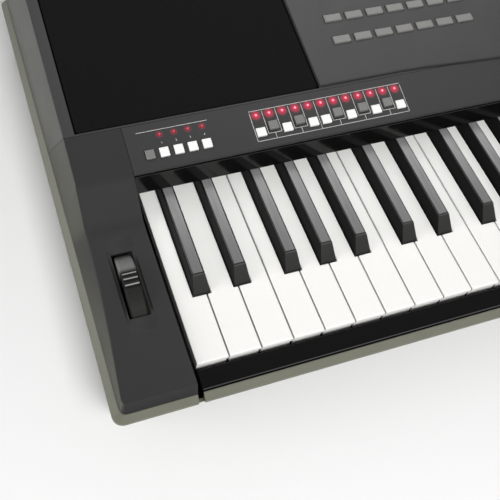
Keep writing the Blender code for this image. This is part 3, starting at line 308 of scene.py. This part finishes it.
@dataclass(frozen=True)
class KeyBlack:
    """Black key plastic; its top is painted lighter, more so towards the back, as painted sheen, and its
    sloped front is painted lighter, as painted light.
    """

    name: str = "key_black"
    colour: tuple = (0.007, 0.007, 0.007)
    painted_top_sheen: tuple = (0.12, 0.12, 0.121)
    slope: tuple = (0.023, 0.023, 0.022)

    def build(self) -> bpy.types.Material:
        """Build the material."""
        shader = Shader(self.name)
        fine = shader.noise(0.4 * MM, 1.0)
        cloud = shader.noise(14.0 * MM, 3.0)
        streak = shader.noise(3.0 * MM, 2.0, (1.0, 0.12, 1.0))
        _, y, _ = shader.axes()
        # Painted reflection: the top grows lighter towards the back, where the light behind is reflected.
        back = y.ramp(KEY_TOP.y + 60.0 * MM, KEY_TOP.y + 140.0 * MM)
        base = shader.mix(cloud, shade(self.colour, 0.8), shade(self.colour, 1.3))
        top = shader.mix(back, shade(self.painted_top_sheen, 0.7), shade(self.painted_top_sheen, 1.75))
        top = shader.mix(streak.ramp(0.4, 0.7) * 0.25, top, shade(self.painted_top_sheen, 0.5))
        _, along, up = shader.facing()
        # Painted light: the sloped front faces take a lighter colour.
        base = shader.mix(along.ramp(-0.5, -0.74), base, shade(self.slope, 1.0))
        # Painted sheen: faces that look up take the lighter top colour.
        base = shader.mix(up.ramp(0.975, 0.998), base, top)
        shader.set(Base_Color=base, Roughness=0.5 + cloud * 0.1, Specular_IOR_Level=0.05)
        shader.set(Coat_Weight=up.ramp(0.5, 0.75) * 0.7, Coat_Roughness=0.25)
        shader.set(Normal=shader.bump(fine, 0.3, 0.04 * MM))
        return shader.material


@dataclass(frozen=True)
class LampLitDeck:
    """The control strip's plastic, with a red glow on it round each lamp that is lit."""

    name: str = "strip_plastic"
    colour: tuple = (0.026, 0.026, 0.027)
    glow: tuple = (0.62, 0.02, 0.07, 1.0)

    def build(self) -> bpy.types.Material:
        """Build the material."""
        shader = Shader(self.name)
        x, y, z = shader.axes()
        s = (y - STRIP_FRONT.y) * math.cos(STRIP_SLOPE) + (z - STRIP_FRONT.z) * math.sin(STRIP_SLOPE)
        step = (x - LAMP_FIRST) * (1 / LAMP_PITCH)
        near = step.nearest().limited(0.0, LAMP_COUNT - 1.0)
        across = (step - near) * LAMP_PITCH
        along = s - LAMP_ROW
        spread = (across * across + along * along).power(0.5)
        halo = spread.ramp(5.2 * MM, 1.2 * MM)
        for lamp in PRESET_LAMPS:
            side = x - lamp
            spread = (side * side + along * along).power(0.5)
            halo = halo + spread.ramp(3.6 * MM, 1.0 * MM) * 0.4
        fine = shader.noise(0.45 * MM, 1.0)
        cloud = shader.noise(30.0 * MM, 3.0)
        base = shader.mix(cloud, shade(self.colour, 0.9), shade(self.colour, 1.1))
        base = shader.mix(fine.ramp(0.35, 0.75) * 0.3, base, shade(self.colour, 1.35))
        base = shader.mix(halo.limited(0.0, 1.0) * 0.5, base, self.glow)
        glow = shader.mix(halo.limited(0.0, 1.0), (0.0, 0.0, 0.0, 1.0), self.glow)
        shader.set(Base_Color=base, Roughness=0.5 + (cloud - 0.5) * 0.1, Specular_IOR_Level=0.35)
        shader.set(Emission_Color=glow, Emission_Strength=0.28)
        shader.set(Normal=shader.bump(fine, 0.35, 0.04 * MM))
        return shader.material


@dataclass(frozen=True)
class Lamp:
    """A lit lamp: a small clear red dome, bright in the middle."""

    name: str
    colour: tuple
    heart: tuple
    strength: float

    def build(self) -> bpy.types.Material:
        """Build the material."""
        shader = Shader(self.name)
        _, y, z = shader.axes()
        high = (z - STRIP_FRONT.z) * math.cos(STRIP_SLOPE) - (y - STRIP_FRONT.y) * math.sin(STRIP_SLOPE)
        heart = high.ramp(0.45 * MM, 0.72 * MM)
        cloud = shader.noise(1.5 * MM, 1.0)
        base = shader.mix(cloud, self.colour, shade(self.colour, 0.8))
        base = shader.mix(heart, base, self.heart)
        shader.set(Base_Color=base, Emission_Color=base, Emission_Strength=self.strength, Roughness=0.3)
        return shader.material


@dataclass(frozen=True)
class WheelPlastic:
    """The pitch wheel's plastic: ridge tops painted pale as painted highlight, grooves painted black as
    painted shade, and the far part of its top painted paler as painted highlight.
    """

    name: str = "wheel_plastic"
    colour: tuple = (0.013, 0.013, 0.011)
    painted_far_highlight: tuple = (0.2, 0.2, 0.192)
    centre: Vector = field(default_factory=lambda: KEY_TOP + Vector((0.0, 70.0, -22.0)) * MM)
    radius: float = 36.0 * MM

    def build(self) -> bpy.types.Material:
        """Build the material."""
        shader = Shader(self.name)
        _, y, z = shader.axes()
        along = y - self.centre.y
        high = z - self.centre.z
        reach = (along * along + high * high).power(0.5)
        top = high.ramp(0.0, 2.0 * MM)
        band = along.ramp(-8.6 * MM, -8.0 * MM) * along.ramp(5.2 * MM, 4.6 * MM) * top
        crest = reach.ramp(self.radius + 0.58 * MM, self.radius + 0.76 * MM)
        far = along.ramp(4.0 * MM, 9.0 * MM) * along.ramp(25.0 * MM, 17.0 * MM)
        fine = shader.noise(0.45 * MM, 1.0)
        base = shader.mix(fine, shade(self.colour, 0.7), shade(self.colour, 1.4))
        # Painted highlight: the far part of the wheel's top is paler.
        base = shader.mix(far, base, shade(self.painted_far_highlight, 1.0))
        # Painted shade: the ridged band is painted near black.
        base = shader.mix(band, base, (0.004, 0.004, 0.004, 1.0))
        # Painted highlight: the ridge tops are painted pale.
        base = shader.mix(band * crest, base, (0.26, 0.26, 0.25, 1.0))
        shader.set(Base_Color=base, Roughness=0.42 + fine * 0.1, Specular_IOR_Level=0.2)
        shader.set(Normal=shader.bump(fine, 0.3, 0.04 * MM))
        return shader.material


@dataclass(frozen=True)
class SteelSheet:
    """Plain sheet steel with a rolled grain."""

    name: str = "steel_sheet"

    def build(self) -> bpy.types.Material:
        """Build the material."""
        shader = Shader(self.name)
        grain = shader.noise(0.6 * MM, 3.0, (0.05, 1.0, 1.0))
        base = shader.mix(grain, (0.36, 0.36, 0.37, 1.0), (0.56, 0.56, 0.57, 1.0))
        shader.set(Base_Color=base, Metallic=1.0, Roughness=0.35 + grain * 0.15)
        shader.set(Normal=shader.bump(grain, 0.2, 0.05 * MM))
        return shader.material


@dataclass(frozen=True)
class CircuitBoard:
    """Green solder mask with lighter copper tracks under it."""

    name: str = "circuit_board"

    def build(self) -> bpy.types.Material:
        """Build the material."""
        shader = Shader(self.name)
        track = shader.noise(5.0 * MM, 0.0, (1.0, 0.2, 1.0)).ramp(0.5, 0.53)
        base = shader.mix(track, (0.012, 0.1, 0.035, 1.0), (0.03, 0.2, 0.07, 1.0))
        shader.set(Base_Color=base, Roughness=0.4 - track * 0.1)
        shader.set(Normal=shader.bump(track, 0.3, 0.05 * MM))
        return shader.material


@dataclass(frozen=True)
class Fibre:
    """Felt or speaker cone: matte, with loose fibres."""

    name: str
    colour: tuple

    def build(self) -> bpy.types.Material:
        """Build the material."""
        shader = Shader(self.name)
        hair = shader.noise(0.8 * MM, 4.0)
        base = shader.mix(hair, shade(self.colour, 0.6), shade(self.colour, 1.4))
        shader.set(Base_Color=base, Roughness=0.9)
        shader.set(Normal=shader.bump(hair, 0.7, 0.3 * MM))
        return shader.material


@dataclass(frozen=True)
class GrilleMesh:
    """Painted sheet with a close pattern of round holes."""

    name: str = "grille_mesh"
    pitch: float = 1.8 * MM
    colour: tuple = (0.004, 0.004, 0.004)

    def build(self) -> bpy.types.Material:
        """Build the material."""
        shader = Shader(self.name)
        x, y, _ = shader.axes()
        holes = None
        for shift in (0.0, 0.5):
            across = x * (1 / self.pitch) + shift
            along = y * (1 / (self.pitch * 1.732)) + shift
            dx = (across - across.nearest()) * self.pitch
            dy = (along - along.nearest()) * (self.pitch * 1.732)
            reach = (dx * dx + dy * dy).power(0.5)
            hole = reach.ramp(0.36 * self.pitch, 0.28 * self.pitch)
            holes = hole if holes is None else holes + hole
        fine = shader.noise(0.5 * MM, 1.0)
        base = shader.mix(fine, shade(self.colour, 0.8), shade(self.colour, 1.3))
        base = shader.mix(holes, base, (0.002, 0.002, 0.002, 1.0))
        shader.set(Base_Color=base, Roughness=0.7 + holes * 0.25, Specular_IOR_Level=0.12)
        shader.set(Normal=shader.bump(fine * 0.1 - holes, 0.6, 0.3 * MM))
        return shader.material


@dataclass(frozen=True)
class PrintInk:
    """Screen-printed ink, a little uneven."""

    name: str = "print_ink"
    colour: tuple = (0.55, 0.55, 0.54)

    def build(self) -> bpy.types.Material:
        """Build the material."""
        shader = Shader(self.name)
        cloud = shader.noise(2.0 * MM, 2.0)
        base = shader.mix(cloud, shade(self.colour, 0.85), shade(self.colour, 1.1))
        shader.set(Base_Color=base, Roughness=0.5)
        return shader.material


@dataclass(frozen=True)
class DisplayGlass:
    """A dark display behind clear plastic, a little cloudy in tone."""

    name: str = "display_glass"

    def build(self) -> bpy.types.Material:
        """Build the material."""
        shader = Shader(self.name)
        cloud = shader.noise(40.0 * MM, 1.0)
        base = shader.mix(cloud, (0.008, 0.01, 0.016, 1.0), (0.014, 0.018, 0.028, 1.0))
        shader.set(Base_Color=base, Roughness=0.06 + cloud * 0.04, Coat_Weight=0.5)
        return shader.material


class Finish(Enum):
    """The finishes of the record's material slots."""

    CASE = MouldedPlastic("case_plastic", (0.115, 0.116, 0.088), 0.5, dust=0.05)
    # The deck and block finishes carry painted light on their outer sides; the block also has painted shade
    # on its front faces.
    DECK = MouldedPlastic("deck_plastic", (0.028, 0.028, 0.029), 0.5, gloss=0.35, painted_side_light=(0.077, 0.077, 0.067))
    BLOCK = MouldedPlastic(
        "block_plastic", (0.025, 0.025, 0.0255), 0.55, gloss=0.2, painted_side_light=(0.082, 0.082, 0.069), front=0.6
    )
    GLOSS = GlossPlastic("gloss_trim", (0.0035, 0.0035, 0.0035), 0.08)
    GRILLE = GrilleMesh()
    NATURAL = KeyWhite()
    SHARP = KeyBlack()
    WHEEL = WheelPlastic()
    KNOB = MouldedPlastic("knob_plastic", (0.03, 0.03, 0.03), 0.45)
    WHITE_BUTTON = MouldedPlastic("white_button_plastic", (0.86, 0.86, 0.84), 0.4, mottle=0.03, strength=0.15)
    GREY_BUTTON = MouldedPlastic("grey_button_plastic", (0.165, 0.163, 0.155), 0.45, mottle=0.05)
    DISPLAY = DisplayGlass()
    STEEL = SteelSheet()
    BOARD = CircuitBoard()
    FELT = Fibre("stop_felt", (0.03, 0.03, 0.03))
    RUBBER = MouldedPlastic("foot_rubber", (0.02, 0.02, 0.02), 0.8)
    CONE = Fibre("speaker_cone", (0.03, 0.03, 0.032))
    STRIP = LampLitDeck()
    LAMP_BRIGHT = Lamp("scale_lamp", (0.6, 0.022, 0.08, 1.0), (1.0, 0.3, 0.38, 1.0), 0.6)
    LAMP_DIM = Lamp("preset_lamp", (0.26, 0.016, 0.03, 1.0), (0.5, 0.04, 0.07, 1.0), 0.2)
    INK = PrintInk()


SLOT_FINISH = {
    "case": Finish.CASE,
    "deck": Finish.DECK,
    "gloss_black": Finish.GLOSS,
    "grille": Finish.GRILLE,
    "natural": Finish.NATURAL,
    "sharp": Finish.SHARP,
    "wheel": Finish.WHEEL,
    "white_button": Finish.WHITE_BUTTON,
    "grey_button": Finish.GREY_BUTTON,
    "display": Finish.DISPLAY,
    "steel": Finish.STEEL,
    "board": Finish.BOARD,
    "felt": Finish.FELT,
    "foot_rubber": Finish.RUBBER,
    "cone": Finish.CONE,
}


@dataclass
class Workshop:
    """Turns meshes into dressed pieces and keeps each finish once."""

    built: dict = field(default_factory=dict)
    slots: dict = field(default_factory=dict)
    bodies: dict = field(default_factory=dict)

    def __post_init__(self) -> None:
        """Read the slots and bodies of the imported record."""
        record = frame["record"]
        self.slots = {part["node"]: part["material_slot"] for part in record["subparts"]}
        for body, nodes in record["behaviour"]["bodies"].items():
            for node in nodes:
                self.bodies[node] = body

    def material(self, finish: Finish) -> bpy.types.Material:
        """Return a finish's material, built on first use."""
        if finish not in self.built:
            self.built[finish] = finish.value.build()
        return self.built[finish]

    def dress_node(self, node: str, finish: Finish | None = None) -> None:
        """Give a carried-over node its finish.

        Args:
            node: The node's name.
            finish: Its finish, or None for that of its material slot.
        """
        chosen = finish or SLOT_FINISH[self.slots[node]]
        mesh = frame["nodes"][node].data
        mesh.materials.clear()
        mesh.materials.append(self.material(chosen))

    def piece(
        self, name: str, bm: bmesh.types.BMesh, body: str, finish: Finish, crease: float = 38.0
    ) -> bpy.types.Object:
        """Turn a bmesh into a dressed piece.

        Args:
            name: The piece's name.
            bm: The mesh, which is freed.
            body: The body it rides on.
            finish: Its finish.
            crease: The angle in degrees past which an edge stays hard.

        Returns:
            The new object.
        """
        mesh = bpy.data.meshes.new(name)
        bm.to_mesh(mesh)
        bm.free()
        mesh.shade_smooth()
        mesh.set_sharp_from_angle(angle=math.radians(crease))
        made = bpy.data.objects.new(name, mesh)
        bpy.context.scene.collection.objects.link(made)
        even = made.modifiers.new("even_shading", "WEIGHTED_NORMAL")
        even.weight = 100
        even.keep_sharp = True
        mesh.materials.append(self.material(finish))
        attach(made, body)
        LOG.info("%s: %d faces", name, len(mesh.polygons))
        return made

    def merged_copy(self, node: str) -> bmesh.types.BMesh:
        """Copy a node's mesh and join its flat faces.

        Args:
            node: The node's name.

        Returns:
            The copy as a bmesh.
        """
        bm = bmesh.new()
        bm.from_mesh(frame["nodes"][node].data)
        bmesh.ops.remove_doubles(bm, verts=bm.verts, dist=0.00001)
        bmesh.ops.dissolve_limit(bm, angle_limit=math.radians(0.5), verts=bm.verts, edges=bm.edges)
        return bm

    def soften(
        self,
        node: str,
        width: float,
        segments: int = 2,
        finish: Finish | None = None,
        crease: float = 38.0,
        wide_before: float | None = None,
    ) -> None:
        """Replace a node with a copy whose hard outer edges are rounded.

        Args:
            node: The node's name.
            width: The width of the rounding.
            segments: The steps of the rounding.
            finish: Its finish, or None for that of its material slot.
            crease: The angle in degrees past which an edge stays hard.
            wide_before: Edges that lie wholly before this y get a wider chamfer first.
        """
        bm = self.merged_copy(node)
        if wide_before is not None:
            front = [edge for edge in bm.edges if all(v.co.y < wide_before for v in edge.verts)]
            self.round_edges(bm, front, WIDE_CHAMFER, 2)
        self.round_edges(bm, bm.edges, width, segments)
        slot = self.slots[node]
        made = self.piece(f"{node}_shell", bm, self.bodies[node], finish or SLOT_FINISH[slot], crease)
        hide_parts(node)

    def round_edges(self, bm: bmesh.types.BMesh, edges: object, width: float, segments: int) -> None:
        """Round the edges that stand out by more than the limit.

        Args:
            bm: The mesh.
            edges: The edges that may be rounded.
            width: The width of the rounding.
            segments: Its steps.
        """
        hard = [e for e in edges if e.is_manifold and e.calc_face_angle_signed() > EDGE_LIMIT]
        bmesh.ops.bevel(
            bm,
            geom=hard,
            offset=width,
            segments=segments,
            profile=0.5,
            affect="EDGES",
            clamp_overlap=True,
            material=-1,
        )


@dataclass
class Studio:
    """The floor, the light and the camera at the photograph's angle."""

    eye: Vector = field(default_factory=lambda: Vector((-508.8, -408.6, 559.6)) * MM)
    azimuth: float = math.radians(-27.07)
    elevation: float = math.radians(55.81)
    roll: float = math.radians(9.39)
    lens: float = 57.8
    sky: float = 0.26
    glossy_sky: float = 0.16
    lights: tuple = (
        ("front_light", (-0.3, -1.5, 1.5), (0.8, 0.8), 37.0),
        ("left_light", (-1.9, -0.2, 0.6), (1.0, 1.0), 12.0),
    )
    gloss_panels: tuple = (
        ("back_panel", (0.4, 0.95, 1.5), (1.4, 1.0), 4.2),
        ("shoulder_panel", (-1.5, 0.7, 0.75), (1.0, 0.8), 4.0),
        ("front_panel", (0.3, -1.1, 1.1), (2.6, 0.8), 2.3),
    )
    floor_size: float = 6.0
    floor_grey: float = 0.86

    def build(self) -> None:
        """Build the studio."""
        self.floor()
        self.camera()
        for name, place, size, power in self.lights:
            self.light(name, place, size, power)
        for name, place, size, radiance in self.gloss_panels:
            self.gloss_panel(name, place, size, radiance)
        self.sky_light()
        bpy.context.scene.view_settings.view_transform = "Standard"

    def sky_light(self) -> None:
        """Light the scene from all round, less brightly in its gloss."""
        world = bpy.data.worlds.new("studio")
        bpy.context.scene.world = world
        world.use_nodes = True
        nodes, links = world.node_tree.nodes, world.node_tree.links
        path = nodes.new("ShaderNodeLightPath")
        blend = nodes.new("ShaderNodeMix")
        blend.data_type = "RGBA"
        blend.inputs[6].default_value = (*[self.sky] * 3, 1.0)
        blend.inputs[7].default_value = (*[self.glossy_sky] * 3, 1.0)
        links.new(path.outputs["Is Glossy Ray"], blend.inputs[0])
        links.new(blend.outputs[2], nodes["Background"].inputs["Color"])

    def floor(self) -> None:
        """Lay the pale floor."""
        bm = bmesh.new()
        bmesh.ops.create_grid(bm, x_segments=1, y_segments=1, size=self.floor_size)
        mesh = bpy.data.meshes.new("floor")
        bm.to_mesh(mesh)
        bm.free()
        floor = bpy.data.objects.new("floor", mesh)
        bpy.context.scene.collection.objects.link(floor)
        shader = Shader("floor_paper")
        shader.set(Base_Color=(*[self.floor_grey] * 3, 1.0), Roughness=0.9)
        mesh.materials.append(shader.material)

    def camera(self) -> None:
        """Place the camera."""
        az, el = self.azimuth, self.elevation
        back = Vector((math.sin(az) * math.cos(el), -math.cos(az) * math.cos(el), math.sin(el)))
        right = Vector((0.0, 0.0, 1.0)).cross(back).normalized()
        up = back.cross(right)
        c, s = math.cos(self.roll), math.sin(self.roll)
        right, up = right * c + up * s, up * c - right * s
        turn = Matrix((right, up, back)).transposed().to_4x4()
        data = bpy.data.cameras.new("camera")
        data.lens = self.lens
        data.sensor_width = 36.0
        data.sensor_fit = "HORIZONTAL"
        data.clip_start = 0.01
        camera = bpy.data.objects.new("camera", data)
        camera.matrix_world = Matrix.Translation(self.eye) @ turn
        bpy.context.scene.collection.objects.link(camera)
        bpy.context.scene.camera = camera

    def lamp(self, name: str, place: tuple, size: tuple, power: float) -> bpy.types.Object:
        """Add a soft rectangular lamp that looks at the object.

        Args:
            name: The lamp's name.
            place: Where it stands.
            size: Its width and height.
            power: Its power in watts.

        Returns:
            The lamp object.
        """
        data = bpy.data.lights.new(name, "AREA")
        data.shape = "RECTANGLE"
        data.size, data.size_y = size
        data.energy = power
        lamp = bpy.data.objects.new(name, data)
        lamp.location = place
        lamp.rotation_euler = (-Vector(place)).to_track_quat("-Z", "Y").to_euler()
        bpy.context.scene.collection.objects.link(lamp)
        return lamp

    def light(self, name: str, place: tuple, size: tuple, power: float) -> None:
        """Add a lamp that lights the object and isn't seen in its gloss."""
        self.lamp(name, place, size, power).visible_glossy = False

    def gloss_panel(self, name: str, place: tuple, size: tuple, radiance: float) -> None:
        """Add a panel that only shows in the object's gloss.

        Args:
            name: The panel's name.
            place: Where it stands.
            size: Its width and height.
            radiance: How bright its face is.
        """
        power = radiance * math.pi * size[0] * size[1]
        self.lamp(name, place, size, power).visible_diffuse = False


@dataclass
class CaseWork:
    """The moulded cases, trims and everything that only needs softer edges."""

    shells: tuple = (
        ("lower_case", 0.6 * MM, 2),
        ("rear_housing", 0.6 * MM, 2),
        ("front_rail", 0.95 * MM, 3),
        ("fallboard", 0.4 * MM, 2),
        ("left_grille", 0.3 * MM, 2),
        ("right_grille", 0.3 * MM, 2),
        ("memory_button", 0.5 * MM, 3),
        ("scale_naturals", 0.5 * MM, 3),
        ("scale_sharps", 0.5 * MM, 3),
        ("transport_buttons", 0.5 * MM, 3),
        ("style_buttons", 0.5 * MM, 3),
        ("voice_buttons", 0.5 * MM, 3),
        ("left_display_buttons", 0.5 * MM, 3),
        ("right_display_buttons", 0.5 * MM, 3),
        ("power_button", 0.5 * MM, 3),
        ("wheel_bracket", 0.3 * MM, 2),
        ("jack_panel", 0.3 * MM, 2),
    )

    def build(self, shop: Workshop) -> None:
        """Build the shells.

        Args:
            shop: The workshop that dresses the pieces.
        """
        for node, width, segments in self.shells:
            shop.soften(node, width, segments)
        for side in ("left", "right"):
            shop.soften(f"{side}_end_block", 0.5 * MM, 3, Finish.BLOCK, 60.0)
        shop.soften("centre_panel", 0.25 * MM, 2, wide_before=PANEL_FRONT_END)
        shop.soften("control_strip", 0.25 * MM, 2, Finish.STRIP)
        shop.soften("pitch_wheel", 0.3 * MM, 2)
        for knob in ("data_dial", "volume_knob"):
            shop.soften(knob, 0.3 * MM, 2, Finish.KNOB)
        for index in range(1, 5):
            shop.soften(f"preset_button_{index}", 0.5 * MM, 3)


@dataclass
class KeyWork:
    """The keys, with rounded edges."""

    white_edge: float = 0.35 * MM
    black_edge: float = 0.55 * MM

    def build(self, shop: Workshop) -> None:
        """Build the keys.

        Args:
            shop: The workshop that dresses the pieces.
        """
        for node, slot in shop.slots.items():
            if slot == "natural":
                shop.soften(node, self.white_edge, 3)
            elif slot == "sharp":
                shop.soften(node, self.black_edge, 3, crease=52.0)


@dataclass
class StripPrint:
    """The printed lines and digits on the control strip, in its own x and s."""

    thickness: float = 0.05 * MM
    sunk: float = 0.1 * MM
    line: float = 0.42 * MM
    frame_left: float = 93.8 * MM - HALF_KEYS
    frame_right: float = 222.4 * MM - HALF_KEYS
    frame_low: float = 6.2 * MM
    frame_high: float = 31.9 * MM
    shelf: float = 11.2 * MM
    divider_top: float = 30.6 * MM
    corner_gap: float = 1.6 * MM
    rule_left: float = 5.7 * MM - HALF_KEYS
    rule_right: float = 60.3 * MM - HALF_KEYS
    rule_s: float = 32.1 * MM
    digit_height: float = 2.6 * MM
    digit_s: float = 20.2 * MM

    def bar(self, bm: bmesh.types.BMesh, x0: float, x1: float, s0: float, s1: float) -> None:
        """Add one printed bar between two corners.

        Args:
            bm: The mesh that it is added to.
            x0: The left end of its middle line.
            x1: The right end.
            s0: The lower end, up the strip's slope.
            s1: The upper end.
        """
        half = self.line / 2
        size = (x1 - x0 + 2 * half, s1 - s0 + 2 * half, self.thickness + self.sunk)
        middle = ((x0 + x1) / 2, (s0 + s1) / 2, (self.thickness - self.sunk) / 2)
        matrix = STRIP_MATRIX @ Matrix.Translation(middle) @ Matrix.Diagonal((*size, 1.0))
        bmesh.ops.create_cube(bm, size=1.0, matrix=matrix)

    def scale_frame(self, bm: bmesh.types.BMesh) -> None:
        """Draw the frame, the dividers and the shelves below the grey buttons.

        Args:
            bm: The mesh that the bars are added to.
        """
        left, right = self.frame_left, self.frame_right
        low, high = self.frame_low, self.frame_high
        self.bar(bm, left, right, low, low)
        self.bar(bm, left, right, high, high)
        self.bar(bm, left, left, low, high - self.corner_gap)
        self.bar(bm, right, right, low, high - self.corner_gap)
        half = LAMP_PITCH / 2
        for step in BLACK_STEPS:
            x = LAMP_FIRST + step * LAMP_PITCH
            self.bar(bm, x - half, x - half, self.shelf, self.divider_top)
            self.bar(bm, x + half, x + half, self.shelf, self.divider_top)
            self.bar(bm, x - half, x + half, self.shelf, self.shelf)
            self.bar(bm, x, x, low, self.shelf)
        x = LAMP_FIRST + 4.5 * LAMP_PITCH
        self.bar(bm, x, x, low, self.divider_top)

    def digits(self, bm: bmesh.types.BMesh) -> None:
        """Print the digits 1 to 4 above the preset buttons.

        Args:
            bm: The mesh that they are added to.
        """
        for index, x in enumerate(PRESET_LAMPS):
            text = bpy.data.curves.new(f"digit_{index + 1}", "FONT")
            text.body = str(index + 1)
            text.size = self.digit_height
            text.align_x = "CENTER"
            text.extrude = (self.thickness + self.sunk) / 2
            flat = bpy.data.objects.new(text.name, text)
            bpy.context.scene.collection.objects.link(flat)
            mesh = flat.to_mesh()
            shift = Matrix.Translation((x + 0.1 * MM, self.digit_s, (self.thickness - self.sunk) / 2))
            mesh.transform(STRIP_MATRIX @ shift)
            bm.from_mesh(mesh)
            flat.to_mesh_clear()
            bpy.data.objects.remove(flat, do_unlink=True)

    def build(self, shop: Workshop) -> None:
        """Build the print.

        Args:
            shop: The workshop that dresses the pieces.
        """
        bm = bmesh.new()
        self.scale_frame(bm)
        self.bar(bm, self.rule_left, self.rule_right, self.rule_s, self.rule_s)
        self.digits(bm)
        shop.piece("strip_print", bm, "case", Finish.INK)


@dataclass
class LampRow:
    """The lamps that stand in the control strip."""

    radius: float = 1.45 * MM
    rise: float = 0.75 * MM

    def dome(self, bm: bmesh.types.BMesh, x: float) -> None:
        """Add one dome.

        Args:
            bm: The mesh that it is added to.
            x: Where it stands along the strip.
        """
        place = STRIP_MATRIX @ Matrix.Translation((x, LAMP_ROW, 0.0))
        squash = Matrix.Diagonal((self.radius, self.radius, self.rise, 1.0))
        bmesh.ops.create_uvsphere(bm, u_segments=20, v_segments=12, radius=1.0, matrix=place @ squash)

    def build(self, shop: Workshop) -> None:
        """Build both rows.

        Args:
            shop: The workshop that dresses the pieces.
        """
        bm = bmesh.new()
        for step in range(LAMP_COUNT):
            self.dome(bm, LAMP_FIRST + step * LAMP_PITCH)
        shop.piece("scale_lamps", bm, "case", Finish.LAMP_BRIGHT)
        bm = bmesh.new()
        for x in PRESET_LAMPS:
            self.dome(bm, x)
        shop.piece("preset_lamps", bm, "case", Finish.LAMP_DIM)


def dress_rest(shop: Workshop) -> None:
    """Dress every node's own mesh, shown or not."""
    for node in frame["nodes"]:
        shop.dress_node(node)


def main() -> None:
    """Build the classes in order."""
    logging.basicConfig(level=logging.INFO, format="%(message)s")
    shop = Workshop()
    Studio().build()
    CaseWork().build(shop)
    KeyWork().build(shop)
    StripPrint().build(shop)
    LampRow().build(shop)
    dress_rest(shop)


if __name__ == "__main__":
    main()
